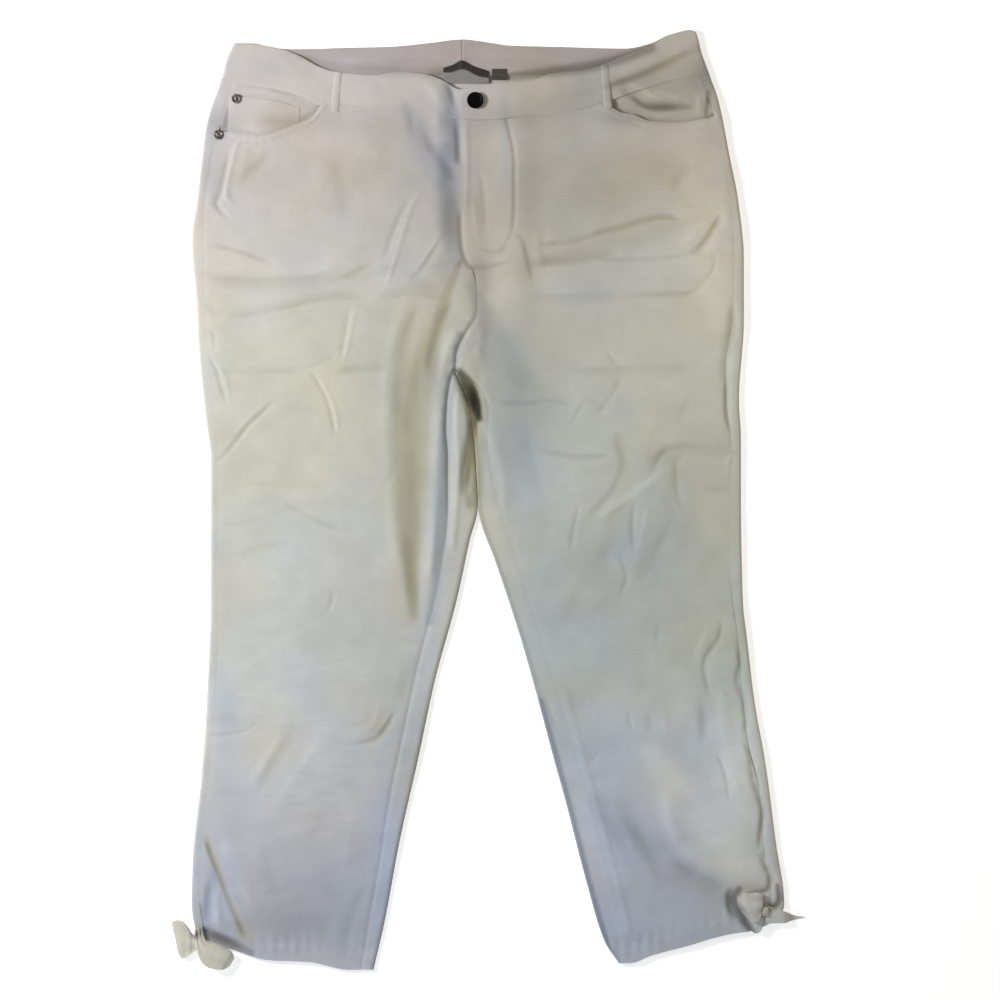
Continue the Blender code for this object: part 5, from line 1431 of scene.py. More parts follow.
def side_roll(edge_x, seam_x, way, y, strip_steps, edge_shade):
    """Columns from the floor round a side fold and over the top to the seam there."""
    radius = (LEG_LIE + EDGE_RISE - FLOOR_MID) / 2
    roll_top = edge_x - way * (FLOOR_MID + radius)
    share = np.linspace(0, 1, strip_steps + 1)
    strip_x = blend(roll_top[:, None], seam_x[:, None], share[None, :])
    strip_y = np.repeat(y[:, None], strip_steps + 1, axis=1)
    strip_z, strip_hollow = lie(strip_x, strip_y)
    turn = np.linspace(0, 1, ROLL_STEPS + 1)[:-1] * math.pi
    half = (strip_z[:, :1] - FLOOR_MID) / 2
    reach = np.minimum(half, radius)
    middle = edge_x[:, None] - way * FLOOR_MID
    roll_x = middle - way * (radius - reach * np.sin(turn)[None, :])
    roll_x += way * (radius - reach)
    roll_z = FLOOR_MID + half * (1 - np.cos(turn)[None, :])
    fade = (1 - np.cos(turn)[None, :]) / 2
    x = np.concatenate([roll_x, strip_x], axis=1)
    z = np.concatenate([roll_z, strip_z], axis=1)
    from_edge = np.abs(strip_x - edge_x[:, None])
    # painted shade along the fold's edge, and painted light on the strip of back cloth on top
    strip_hollow = strip_hollow + edge_shade * nearness(from_edge, EDGE_SHADE_REACH) - STRIP_LIGHT
    hollow = np.concatenate([strip_hollow[:, :1] * fade + edge_shade * (1 - fade), strip_hollow], axis=1)
    return x, z, hollow


def floor_run(start_x, end_x, count):
    share = np.linspace(0, 1, count + 1)[1:-1]
    return blend(start_x[:, None], end_x[:, None], share[None, :])


def back_panel(name, side):
    """A back: outseam on top, round the side, along the floor and up to the inseam."""
    way, hem, outseam, waist, mouth_y = side.way, side.hem, side.outseam, side.band_seam, side.mouth_y
    hem_outer, hem_inner = hem_height(hem, outseam), hem_height(hem, side.inseam)
    waist_y = side_seam_height(waist, outseam) - SEAM_GAP / 2
    inner_top = back_seam_height(np.array(BACK_SEAM_X)) - SEAM_GAP / 2
    outer_y = np.concatenate([
        row_places(hem_outer, CROTCH_HEIGHT, mouth_y),
        np.linspace(mouth_y, waist_y, POCKET_ROWS + 1)[1:],
    ])
    turn = CROTCH_HEIGHT + np.linspace(0, CROTCH_TURN, TURN_ROWS + 1)[1:]
    above = HIP_ROWS + POCKET_ROWS - TURN_ROWS
    inner_y = np.concatenate([
        np.linspace(hem_inner, KNEE_HEIGHT, LOWER_ROWS + 1),
        np.linspace(KNEE_HEIGHT, CROTCH_HEIGHT, THIGH_ROWS + 1)[1:],
        turn, np.linspace(turn[-1], inner_top, above + 1)[1:],
    ])
    up = np.linspace(0, 1, len(outer_y))
    edge_y = outer_y + (1 - up) ** 3 * (curve(hem, way * HEM_CORNER_X) - hem_outer) / 2
    out_x, out_z, out_hollow = side_roll(
        curve(side.outer, edge_y), beside(outseam, outer_y, way), way, outer_y,
        OUTER_STRIP_STEPS, OUTER_SHADE,
    )
    in_x, in_z, in_hollow = inner_side(side, inner_y)
    near_waist = np.clip((outer_y - mouth_y) / (waist_y - mouth_y), 0, 1)[:, None] ** 2
    rise = near_waist * (curve(waist, out_x) - curve(waist, out_x[:, -1:]))
    out_y = outer_y[:, None] + rise
    run_x = floor_run(out_x[:, 0], in_x[:, 0], RUN_STEPS)
    share = np.linspace(0, 1, RUN_STEPS + 1)[1:-1][None, :]
    level_y = blend(outer_y[:, None], inner_y[:, None], share)
    bow = (curve(hem, run_x) - blend(outer_y[0], inner_y[0], share)) * (1 - up[:, None]) ** 3
    waist_rise = near_waist * (back_seam_height(run_x) - SEAM_GAP / 2 - level_y)
    run_y = level_y + bow + waist_rise
    x = np.concatenate([out_x[:, ::-1], run_x, in_x], axis=1)
    y = np.concatenate([out_y[:, ::-1], run_y, np.repeat(inner_y[:, None], in_x.shape[1], 1)], axis=1)
    z = np.concatenate([out_z[:, ::-1], np.full(run_x.shape, FLOOR_MID), in_z], axis=1)
    hollow = np.concatenate([out_hollow[:, ::-1], np.zeros(run_x.shape), in_hollow], axis=1)
    y[0] = curve(hem, x[0])
    if way > 0:
        x, y, z, hollow = (grid[:, ::-1] for grid in (x, y, z, hollow))
    return sheet(name, x, y, z, CLOTH_WALL, [CLOTH["twill"]], hollow)


OUTER_STRIP_STEPS = 5
INNER_STRIP_STEPS = 17
# Painted shade along the edges of the side folds, its reach, and painted light on the strips of back
# cloth on top
OUTER_SHADE = 0.9
INNER_SHADE = 4.0
EDGE_SHADE_REACH = 4.0
STRIP_LIGHT = 0.5
TURN_LEAD = 6.0
FLAT_LEAD = 9.5
LEAST_TURN = 0.05


def inner_side(side, inner_y):
    """Columns round the leg's inner fold below the crotch, flat to the back seam above it."""
    leg = inner_y <= CROTCH_HEIGHT + 0.01
    count = ROLL_STEPS + INNER_STRIP_STEPS + 1
    way = side.way
    edge_x = curve(side.inner, np.minimum(inner_y, CROTCH_HEIGHT))
    seam_x = beside(side.inseam, inner_y, -way)
    x, z, hollow = side_roll(
        edge_x[leg], seam_x[leg], -way, inner_y[leg], INNER_STRIP_STEPS, INNER_SHADE
    )
    last = edge_x[leg][-1]
    radius = (z[-1, ROLL_STEPS] - FLOOR_MID) / 2
    more_x, more_z = [], []
    for number, y in enumerate(inner_y[~leg]):
        if number >= TURN_ROWS:
            end = curve(BACK_SEAM, y) + way * SEAM_GAP / 2
            start = last + way * (FLOOR_MID + FLAT_LEAD)
            more_x.append(np.linspace(start, end, count))
            more_z.append(np.full(count, FLOOR_MID))
            continue
        left_over = 1 - (number + 1) / TURN_ROWS
        turn = math.pi * np.linspace(0, left_over / 2 + LEAST_TURN, count - 2)
        roll_x = last + way * (FLOOR_MID + radius * (1 - np.sin(turn)))
        roll_z = FLOOR_MID + radius * (1 - np.cos(turn))
        lead = roll_x[0] + way * TURN_LEAD * (1 - left_over)
        more_x.append(np.concatenate([np.linspace(lead, roll_x[0], 3)[:-1], roll_x]))
        more_z.append(np.concatenate([np.full(2, FLOOR_MID), roll_z]))
    return (
        np.concatenate([x, np.array(more_x)]),
        np.concatenate([z, np.array(more_z)]),
        np.concatenate([hollow, np.zeros((len(more_x), count))]),
    )


def side_seam_height(waist, outseam):
    """Height at which the outseam meets the waistband's seam."""
    height = outseam[-1][0]
    for _ in range(6):
        height = curve(waist, curve(outseam, height))
    return float(height)


def back_seam_height(x):
    """Height of the waistband's lower seam behind."""
    centre = curve(BACK_TOP, BACK_SEAM_X) - BAND_HEIGHT
    side = np.where(x < 0, RIGHT_SIDE_BAND[0], LEFT_SIDE_BAND[0])
    return blend(centre, side, np.minimum(1.0, np.abs(x - BACK_SEAM_X) / BACK_HALF))


def make_panels():
    panels = {}
    for name, side in (("right", Right), ("left", Left)):
        panels["back_" + name] = back_panel("back_" + name + "_cloth", side)
    for name, side in (("right", Right), ("left", Left)):
        panels["front_" + name] = front_panel("front_" + name + "_cloth", side)
    for node, flat, area, held in (
        ("front_right", (0.28, 0.90), 0.198, "laid"),
        ("front_left", (0.30, 0.89), 0.192, "laid"),
        ("back_right", (0.36, 0.93), 0.252, "folded"),
        ("back_left", (0.37, 0.92), 0.252, "folded"),
    ):
        piece = panels[node]
        finish_piece(piece, "twill", node)


# ---------------------------------------------------------------- pocket cloth

FACING_ROWS = 41
FACING_COLUMNS = 93
EDGE_TRIES = 8
COIN_ROWS = 24
COIN_COLUMNS = 37
COIN_STITCHES = (2.0, 6.2)


def pocket_facing(node, side):
    """Cloth seen in a pocket mouth, tucked under the front along the mouth."""
    way, mouth, outseam = side.way, side.mouth, side.outseam
    share = np.linspace(0, 1, FACING_ROWS)

    def level_y(x, share):
        waist = curve(side.band_seam, x) - SEAM_GAP / 2
        return blend(curve(mouth, x) - FACING_TUCK, waist, share)

    edge_x = curve(outseam, np.full(FACING_ROWS, mouth[0 if way < 0 else -1][1]))
    for _ in range(EDGE_TRIES):
        edge_x = curve(outseam, level_y(edge_x, share)) - way * SEAM_GAP / 2
    ends = (edge_x, side.facing_end) if way < 0 else (side.facing_end, edge_x)
    left, right = (np.broadcast_to(end, (FACING_ROWS,))[:, None] for end in ends)
    x = blend(left, right, np.linspace(0, 1, FACING_COLUMNS)[None, :])
    y = level_y(x, share[:, None])
    z, hollow = facing_lie(x, y, mouth)
    # painted shade that the front's edge leaves on the facing
    hollow = hollow + 1.1 * near_mouth(x, y, mouth)
    piece = sheet(node + "_cloth", x, y, z, CLOTH_WALL, [CLOTH["facing"]], hollow)
    finish_piece(piece, "twill", node)


def near_mouth(x, y, mouth):
    """Share of painted shade that the front's edge leaves on the cloth behind it."""
    return nearness(mouth_distance(x, y, mouth), MOUTH_SHADE_REACH)


def coin_height(x, y):
    """The coin pocket's height and hollows: it sinks into the facing at both its sides."""
    z, hollow = facing_lie(x, y, RIGHT_MOUTH)
    from_top = curve(COIN_TOP, x) - y
    from_side = x - curve(RIGHT_OUTSEAM, y) - COIN_SIDE
    sunk = 1.1 * ramp(x, -214, -193) + 0.9 * (1 - ramp(from_side, 0.0, 7.0))
    z = z + COIN_LIFT - sunk + 0.25 * (1 - ramp(from_top, 5.5, 7.0))
    # painted shade that the front's edge leaves on the coin pocket
    hollow = hollow + 0.8 * near_mouth(x, y, RIGHT_MOUTH)
    return z - 0.2 * nearness(from_top - COIN_STITCHES[1], 0.9), hollow


def coin_pocket():
    """Small pocket on the wearer's right facing, its lower part under the front."""
    share = np.linspace(0, 1, COIN_ROWS)[:, None]
    left, right = COIN_TOP[0][0], COIN_TOP[-1][0]
    level = blend(curve(RIGHT_MOUTH, left) - COIN_TUCK, COIN_TOP[0][1], share)
    edge_x = np.maximum(left, curve(RIGHT_OUTSEAM, level) + COIN_SIDE)
    x = blend(edge_x, right, np.linspace(0, 1, COIN_COLUMNS)[None, :])
    y = blend(curve(RIGHT_MOUTH, x) - COIN_TUCK, curve(COIN_TOP, x), share)
    z, hollow = coin_height(x, y)
    piece = sheet("coin_pocket_cloth", x, y, z, COIN_WALL, [CLOTH["twill"]], hollow, rim=0.25)
    finish_piece(piece, "twill", "coin_pocket")


# ---------------------------------------------------------------- waistband

BAND_ROWS = 18
BAND_BACK_STEPS = 80
BAND_FRONT_STEPS = 118
# Share of the band's height over which its stitched edges pucker
BAND_EDGE = 0.13


def band_front_places(side):
    """Places of one waistband half, rows from its lower seam to its top edge."""
    way, (side_low, side_top) = side.way, side.band_side
    share = np.linspace(0, 1, BAND_ROWS + 1)
    side_y = blend(side_low + SEAM_GAP / 2, side_top, share)
    edge_x = curve(side.outer, side_y)
    low_edge = curve(side.outer, side_low)
    plain = np.linspace(*side.band_ends, BAND_FRONT_STEPS + 1)[None, :]
    lean = (edge_x - low_edge)[:, None]
    front_x = plain + lean * np.maximum(0.0, plain / low_edge) ** 3
    low_y = curve(side.band_seam, front_x) + SEAM_GAP / 2
    front_y = blend(low_y, curve(side.band_top, front_x), share[:, None])
    front_z = side.band_lie(front_x)
    low = BAND_WALL / 2
    half = (front_z[:, :1] - low) / 2
    turn = (np.linspace(0, 1, ROLL_STEPS + 1) * math.pi)[None, :]
    roll_x = edge_x[:, None] - way * (low + half * (1 - np.sin(turn)))
    roll_z = low + half * (1 - np.cos(turn))
    lifted = ramp(turn / math.pi, 0.5, 1.0)
    roll_y = blend(side_y[:, None], front_y[:, :1], lifted)
    end_x = curve(BACK_SEAM, side_y) + way * SEAM_GAP / 2
    back_x = blend(end_x[:, None], roll_x[:, :1], np.linspace(0, 1, BAND_BACK_STEPS + 1)[None, :-1])
    back_y = blend(back_seam_height(back_x) + SEAM_GAP / 2, curve(BACK_TOP, back_x), share[:, None])
    back_z = np.full(back_x.shape, low)
    x = np.concatenate([back_x, roll_x, front_x], axis=1)
    y = np.concatenate([back_y, roll_y, front_y], axis=1)
    z = np.concatenate([back_z, roll_z, front_z], axis=1)
    return x, y, z, back_x.shape[1] + ROLL_STEPS // 2


def band_front_lie(x, y, side):
    """Middle of the front waistband's cloth: a soft swell between its stitched edges."""
    low = curve(side.band_seam, x) + SEAM_GAP / 2
    share = np.clip((y - low) / (curve(side.band_top, x) - low), 0, 1)
    swell = 0.55 * np.sin(math.pi * share) ** 0.6 - 0.35
    relief = crease_relief(x, y, BAND_CREASES) + 0.25 * soft_noise(x, y, 20, 31)
    pucker = 0.10 * np.sin(2 * math.pi * x / 9 + 2 * np.sin(x / 31))
    edge = nearness(share, BAND_EDGE) + nearness(1 - share, BAND_EDGE)
    middle = ramp(share, 0.0, 0.12) * ramp(-share, -1.0, -0.88)
    # the band's creases are painted darker as shade
    return side.band_lie(x) + swell + relief * middle + pucker * edge, -relief


def band_back_lie(x, y):
    """Middle of the back waistband's cloth, whose inner side shows."""
    low = back_seam_height(x) + SEAM_GAP / 2
    share = np.clip((y - low) / (curve(BACK_TOP, x) - low), 0, 1)
    relief = crease_relief(x, y, INNER_BAND_CREASES) + 0.4 + 0.4 * soft_noise(x, y, 22, 32)
    edge = 0.3 * nearness(1 - share, 0.1)
    # the inside band is painted a little darker as shade, more in its creases
    return BAND_WALL / 2 + np.maximum(0.0, relief - edge), 0.25 - relief


def waistband(node, side):
    """One half: its outside in front, round the side fold, and its inside behind."""
    x, y, z, back_count = band_front_places(side)
    column = np.arange(x.shape[1])
    front_z, front_hollow = band_front_lie(x, y, side)
    back_z, back_hollow = band_back_lie(x, y)
    settle = ramp(np.abs(column - back_count), ROLL_STEPS // 2, ROLL_STEPS + 6)[None, :]
    front = np.broadcast_to(column[None, :] >= back_count, x.shape)
    z = blend(z, np.where(front, front_z, back_z), settle)
    hollow = np.where(front, front_hollow, back_hollow) * settle
    second = (column < back_count).astype(int)
    if side.way < 0:
        x, y, z, hollow = (grid[:, ::-1] for grid in (x, y, z, hollow))
        second = second[::-1]
    # the inside band's twill is darkened as painted shade
    piece = sheet(node + "_cloth", x, y, z, BAND_WALL, [CLOTH["twill"], CLOTH["inner"]], hollow,
                  rim=0.45, back_columns=second)
    finish_piece(piece, "twill", node)


def make_waist():
    waistband("waistband_right", Right)
    waistband("waistband_left", Left)
    pocket_facing("pocket_facing_right", Right)
    pocket_facing("pocket_facing_left", Left)
    coin_pocket()


# ---------------------------------------------------------------- loops, label and tag

def loop_height(side):
    """Height of a belt loop's middle over its band, and over the panel below the seam."""
    lift = BAND_WALL / 2 + LOOP_GAP + LOOP_WALL / 2
    panel_lift = CLOTH_WALL / 2 + LOOP_GAP + LOOP_WALL / 2

    def height(x, y):
        on_band = band_front_lie(x, y, side)[0] + lift
        on_panel = lie(x, y)[0] + panel_lift
        above_seam = y - curve(side.band_seam, x)
        return blend(on_panel, np.maximum(on_band, on_panel), ramp(above_seam, *LOOP_STEP))

    return height


def loop_places(top, bottom, rows, columns):
    along = np.linspace(0, 1, rows)[:, None]
    across = np.linspace(-0.5, 0.5, columns)[None, :]
    x = blend(bottom[0], top[0], along) + across * LOOP_WIDTH
    y = np.repeat(blend(bottom[1], top[1], along), columns, axis=1)
    return x, y, across


LOOP_EDGE_SINK = 0.75
LOOP_GRID = (40, 11)


def belt_loop(name, top, bottom, height):
    x, y, across = loop_places(top, bottom, *LOOP_GRID)
    level = height(x, y)
    z = blend(level, np.mean(level, axis=1, keepdims=True), 0.4) + 0.15 * np.cos(math.pi * across)
    z = z - LOOP_EDGE_SINK * np.abs(2 * across) ** 2.5
    z = z + 0.12 * np.sin(2 * math.pi * y / 7.5) * np.abs(2 * across)
    piece = sheet(name + "_cloth", x, y, z, LOOP_WALL, [CLOTH["twill"]], rim=0.3)
    finish_piece(piece, "twill", name)


LABEL_LIFT = BAND_WALL / 2 + 0.3 + LABEL_WALL / 2
LABEL_GRID = (17, 49)
TAG_GRID = (12, 15)


def label():
    """Blank woven label inside the back waistband, behind the front's edge."""
    rows, columns = LABEL_GRID
    x = np.repeat(np.linspace(LABEL_TOP[0][0], LABEL_TOP[-1][0], columns)[None, :], rows, axis=0)
    bottom = np.maximum(LABEL_BOTTOM, curve(RIGHT_BAND_TOP, x) + 1.0)
    y = blend(bottom, curve(LABEL_TOP, x), np.linspace(0, 1, rows)[:, None])
    z = band_back_lie(x, y)[0] + LABEL_LIFT
    piece = sheet("label_cloth_piece", x, y, z, LABEL_WALL, [label_finish()], rim=0.2)
    finish_piece(piece, "label_cloth", "label")


def size_tag():
    (left, bottom), (right, top) = TAG_CORNERS
    rows, columns = TAG_GRID
    x, y = np.meshgrid(np.linspace(left, right, columns), np.linspace(bottom, top, rows))
    z = band_back_lie(x, y)[0] + LABEL_LIFT + 0.15 * np.sin((x - left) / 5)
    piece = sheet("size_tag_piece", x, y, z, LABEL_WALL, [tag_finish()], rim=0.2)
    finish_piece(piece, "tag_cloth", "size_tag")


def make_loops():
    right, left = loop_height(Right), loop_height(Left)
    belt_loop("belt_loop_right", *RIGHT_LOOP, right)
    belt_loop("belt_loop_left", *LEFT_LOOP, left)
    return right, left


# ---------------------------------------------------------------- hem ties

# A knot's ball is cut off this far below its middle and pinched along two lines, as (place
# along it, depth), all in shares of its radius
KNOT_CUT = 0.6
KNOT_PINCHES = ((-0.35, 0.10), (0.38, 0.14))
KNOT_SMOOTH = 60
# A lobe turns over at a share of its length, and reaches a little further in the turn
LOBE_TURN = 0.93
TIP_REACH = 0.07
LOBE_STEPS = 22
TIP_STEPS = 9
LOBE_COLUMNS = 21
END_ROWS = 34
END_COLUMNS = 13

def outside_right(x, y):
    return np.maximum(curve(RIGHT_OUTER, y) - x, curve(RIGHT_HEM, x) - y)


def outside_left(x, y):
    return np.maximum(x - curve(LEFT_OUTER, y), curve(LEFT_HEM, x) - y)


def tie_floor(x, y, outside):
    """Height that a tie lies on: the leg's top inside its outline, the floor well outside."""
    return TIE_LIFT * (1 - ramp(outside(x, y), TIE_CLEAR, TIE_FALL))


def lobe_places(sections, along, across):
    """Places over a lobe, whose sections run from one edge (x, y) to the other (x, y)."""
    rows = np.array(sections, float)
    shares = np.linspace(0, 1, len(rows))
    x1, y1, x2, y2 = (
        curve(np.stack([shares, rows[:, k]], axis=1), along)[:, None] for k in range(4)
    )
    return blend(x1, x2, across + 0.5), blend(y1, y2, across + 0.5)


def lobe_profile(puff):
    """Shares along the spine and heights, from the knot along the floor and back on top."""
    close = TIE_WALL + TIE_INNER_GAP
    out = np.linspace(0, LOBE_TURN, LOBE_STEPS)
    turn = np.linspace(0, math.pi, TIP_STEPS + 2)[1:-1]
    tip = LOBE_TURN + TIP_REACH * np.sin(turn)
    tip_rise = close / 2 * (1 - np.cos(turn))
    back = out[::-1]
    swell = np.sin(math.pi * np.minimum(1, back * 1.05)) ** 0.8
    along = np.concatenate([out, tip, back])
    rise = np.concatenate([np.zeros(LOBE_STEPS), tip_rise, close + puff * swell])
    return along, rise, np.arange(len(along)) > LOBE_STEPS + TIP_STEPS // 2


def tie_loop(name, spine, puff, outside, gathers, cloth="tie"):
    """A bow's loop: a strip that runs out, turns over and comes back, gathered at the knot."""
    along, rise, on_top = lobe_profile(puff)
    across = np.linspace(-0.5, 0.5, LOBE_COLUMNS)[None, :]
    x, y = lobe_places(spine, along, across)
    floor = np.max(tie_floor(x, y, outside), axis=1, keepdims=True)
    crown = np.where(on_top[:, None], -LOBE_ROUND * 1.6 * across ** 2, 0.0)
    folds = np.cos(gathers * 2 * math.pi * across + 0.8) * np.exp(-2.2 * along)[:, None]
    droop = 0.35 * soft_noise(x, y, 7, 41)
    relief = np.where(on_top[:, None], 0.85 * folds + droop, 0.0) * ramp(across + 0.5, 0, 0.12)
    z = floor + TIE_WALL / 2 + rise[:, None] + crown + np.maximum(relief, -0.55)
    grain = np.stack([across * 24 + 0 * x, 40 * along[:, None] + 0 * x], axis=-1)
    # hollows of the gathers are painted darker as shade
    piece = sheet(name + "_cloth", x, y, z, TIE_WALL, [CLOTH[cloth]], -relief * 0.9, grain, rim=0.3)
    finish_piece(piece, "tie_twill", name)


def tie_end(name, spine, outside):
    """A tie's loose end, one layer thick, over the hem and down to the floor."""
    along = np.linspace(0, 1, END_ROWS)
    across = np.linspace(-0.5, 0.5, END_COLUMNS)[None, :]
    x, y = lobe_places(spine, along, across)
    floor = np.max(tie_floor(x, y, outside), axis=1, keepdims=True)
    fold = 0.5 * np.cos(2 * math.pi * across + 0.5) * np.exp(-1.6 * along)[:, None]
    z = floor + TIE_WALL / 2 + np.maximum(fold, 0.0) + 0 * x
    # hollows of the fold are painted darker as shade
    piece = sheet(name + "_cloth", x, y, z, TIE_WALL, [CLOTH["pale_tie"]], -fold + 0 * x, rim=0.25)
    finish_piece(piece, "tie_twill", name)


def new_shape(add, name, **sizes):
    """A new object made by one of Blender's own shape tools."""
    bpy.ops.object.select_all(action="DESELECT")
    add(**sizes)
    piece = bpy.context.active_object
    piece.name = name
    return piece


def edit_vertices():
    bpy.ops.object.mode_set(mode="EDIT")
    bpy.ops.mesh.select_mode(type="VERT")
    bpy.ops.mesh.select_all(action="SELECT")


def pick_vertices(piece, chosen):
    """Selects in edit mode the vertices that chosen(place in millimetres) accepts."""
    bpy.ops.object.mode_set(mode="OBJECT")
    for vert in piece.data.vertices:
        vert.select = bool(chosen([c / MM for c in vert.co]))
    bpy.ops.object.mode_set(mode="EDIT")


def tie_knot(name, place, radii, base, cloth):
    """The lump where the strips cross: a wrap with a pinched waist, flat below."""
    piece = new_shape(bpy.ops.mesh.primitive_uv_sphere_add, name + "_cloth",
                      segments=28, ring_count=16, radius=MM)
    edit_vertices()
    bpy.ops.mesh.bisect(plane_co=(0, 0, -KNOT_CUT * MM), plane_no=(0, 0, -1), use_fill=True,
                        clear_outer=True)
    for centre, depth in KNOT_PINCHES:
        pick_vertices(piece, lambda p: abs(p[0] - centre) < 0.11 and p[2] > -0.3)
        bpy.ops.transform.shrink_fatten(value=depth * MM)
    bpy.ops.mesh.select_all(action="SELECT")
    bpy.ops.transform.translate(value=(0, 0, KNOT_CUT * MM))
    height = radii[2] / (1 + KNOT_CUT)
    bpy.ops.transform.resize(value=(radii[0], radii[1], height), center_override=(0, 0, 0))
    bpy.ops.transform.translate(value=(place[0] * MM, place[1] * MM, base * MM))
    bpy.ops.object.mode_set(mode="OBJECT")
    subdivide = piece.modifiers.new("soft", "SUBSURF")
    subdivide.levels = subdivide.render_levels = 1
    apply_modifiers(piece, KNOT_SMOOTH)
    mesh = piece.data
    points = np.empty(len(mesh.vertices) * 3, np.float32)
    mesh.vertices.foreach_get("co", points)
    put_uv(mesh, "grain", corner_vertices(mesh), points.reshape(-1, 3)[:, :2])
    mesh.materials.append(CLOTH[cloth])
    finish_piece(piece, "tie_twill", name)


def make_ties():
    tie_knot("tie_right_knot", (-297.0, -455.5), (5.0, 7.4, 8.0), 0.0, "tie")
    tie_loop(
        "tie_right_upper",
        [(-298.5, -449, -297.5, -462), (-303, -447.5, -302.5, -465), (-308, -441, -308.5, -469),
         (-313.5, -434, -313.5, -471), (-319.5, -432.5, -317.5, -466), (-325, -434.5, -320.5, -453)],
        2.6, outside_right, 1.5,
    )
    tie_loop(
        "tie_right_lower",
        [(-293, -437, -300, -440), (-291, -447, -299, -452), (-288, -453, -297, -464),
         (-280, -455, -292, -475), (-270, -459, -284, -480), (-263, -463.5, -273, -481.5),
         (-260.5, -471, -266, -480)],
        2.2, outside_right, 2.0,
    )
    # the knot's cloth is darkened as painted shade
    tie_knot("tie_left_knot", (285.5, -422.5), (4.2, 5.2, 4.4), TIE_LIFT, "shaded_knot")
    tie_loop(
        "tie_left_loop",
        [(283, -405, 281, -427), (277, -403, 277.5, -433.5), (269, -404, 270, -432),
         (262, -402, 263, -425), (257.5, -403.5, 258, -418), (256.5, -406, 256.5, -414)],
        3.2, outside_left, 2.0, "pale_tie",
    )
    tie_end(
        "tie_left_end",
        [(272, -430, 283, -428), (270, -437, 283.5, -434), (272, -443, 281.5, -441),
         (275.5, -445.3, 279, -444)], outside_left,
    )
    tie_end(
        "tie_left_tail",
        [(288, -417, 284, -436), (296, -419, 293, -434.5), (304, -422, 305, -434.5),
         (313, -426.5, 313.5, -433), (321, -428.5, 321, -431), (326.3, -429, 326.3, -430)],
        outside_left,
    )


# ---------------------------------------------------------------- button and rivets

METAL_RIM_ANGLE = 25
METAL_SMOOTH = 50
# Rings of a face from its rim inwards, as (inset, drop)
BUTTON_RINGS = [(0.9, -0.25), (0.8, 0.0), (0.5, 0.45), (3.4, 0.15), (0.6, -0.12), (1.0, 0.1)]
RIVET_RINGS = [(0.5, -0.25), (0.7, 0.0), (0.6, 0.55), (0.9, 0.1), (0.35, -0.45), (0.5, -0.12)]

def turned_piece(name, radius, depth, edge, steps, place, base, sides):
    """A round metal piece: a disc with a soft rim, then rings as (inset, drop) rows."""
    piece = new_shape(bpy.ops.mesh.primitive_cylinder_add, name,
                      vertices=sides, radius=radius * MM, depth=depth * MM)
    bpy.ops.object.mode_set(mode="EDIT")
    bpy.ops.mesh.select_mode(type="FACE")
    bpy.ops.object.mode_set(mode="OBJECT")
    for face in piece.data.polygons:
        face.select = face.normal.z > 0.9
    bpy.ops.object.mode_set(mode="EDIT")
    for inset, drop in steps:
        bpy.ops.mesh.inset(thickness=inset * MM)
        bpy.ops.transform.translate(value=(0, 0, -drop * MM))
    bpy.ops.mesh.select_all(action="SELECT")
    bpy.ops.transform.translate(value=(place[0] * MM, place[1] * MM, (base + depth / 2) * MM))
    bpy.ops.object.mode_set(mode="OBJECT")
    soften_edges(piece, edge, 3, METAL_RIM_ANGLE)
    apply_modifiers(piece, METAL_SMOOTH)
    return piece


def make_button():
    """Shank button with a dished face; its post runs down to the tab."""
    base = TAB_LIE + BAND_WALL / 2 + 0.3
    cap = turned_piece("button_cap", 8.5, 1.9, 0.35, BUTTON_RINGS, BUTTON_PLACE, base + 1.9, 64)
    post = turned_piece("button_post", 3.4, 2.0, 0.3, [(0.5, 0.1)], BUTTON_PLACE, base, 32)
    only(cap)
    post.select_set(True)
    bpy.ops.object.join()
    cap.data.materials.clear()
    cap.data.materials.append(metal_finish("button_gunmetal", *GUNMETAL, 0.42, 0.60, 0.88))
    finish_piece(cap, "button_metal", "button")


def make_rivet(name, node, place, base, finish):
    piece = turned_piece(name, 4.8, 1.3, 0.22, RIVET_RINGS, place, base, 40)
    piece.data.materials.append(finish)
    finish_piece(piece, "rivet_metal", node)


def make_rivets():
    finish = metal_finish("rivet_antique", *ANTIQUE_METAL, 0.50, 0.42, 0.66)
    coin_top = float(coin_height(*(np.array([c]) for c in COIN_RIVET))[0][0]) + COIN_WALL / 2
    make_rivet("rivet_coin_cap", "rivet_coin", COIN_RIVET, coin_top + 0.15, finish)
    inner = np.array([POCKET_RIVET[0] + 2.0]), np.array([POCKET_RIVET[1] - 2.0])
    top = float(lie(*inner)[0][0]) + CLOTH_WALL / 2
    make_rivet("rivet_pocket_cap", "rivet_pocket", POCKET_RIVET, top + 0.35, finish)


# ---------------------------------------------------------------- stitching

def stitch_template():
    """One stitch: a fat little span of thread whose ends dive into the cloth."""
    piece = new_shape(bpy.ops.mesh.primitive_uv_sphere_add, "stitch",
                      segments=6, ring_count=5, radius=0.5 * MM)
    edit_vertices()
    bpy.ops.transform.rotate(value=math.pi / 2, orient_axis="Y", center_override=(0, 0, 0))
    bpy.ops.transform.resize(value=(STITCH_LENGTH, STITCH_WIDTH, STITCH_WIDTH),
                             center_override=(0, 0, 0))
    pick_vertices(piece, lambda p: abs(p[0]) > 0.40 * STITCH_LENGTH)
    bpy.ops.transform.translate(value=(0, 0, -STITCH_DIVE * MM))
    bpy.ops.object.mode_set(mode="OBJECT")
    bpy.ops.object.shade_smooth()
    piece.data.materials.append(thread_finish())
    return piece


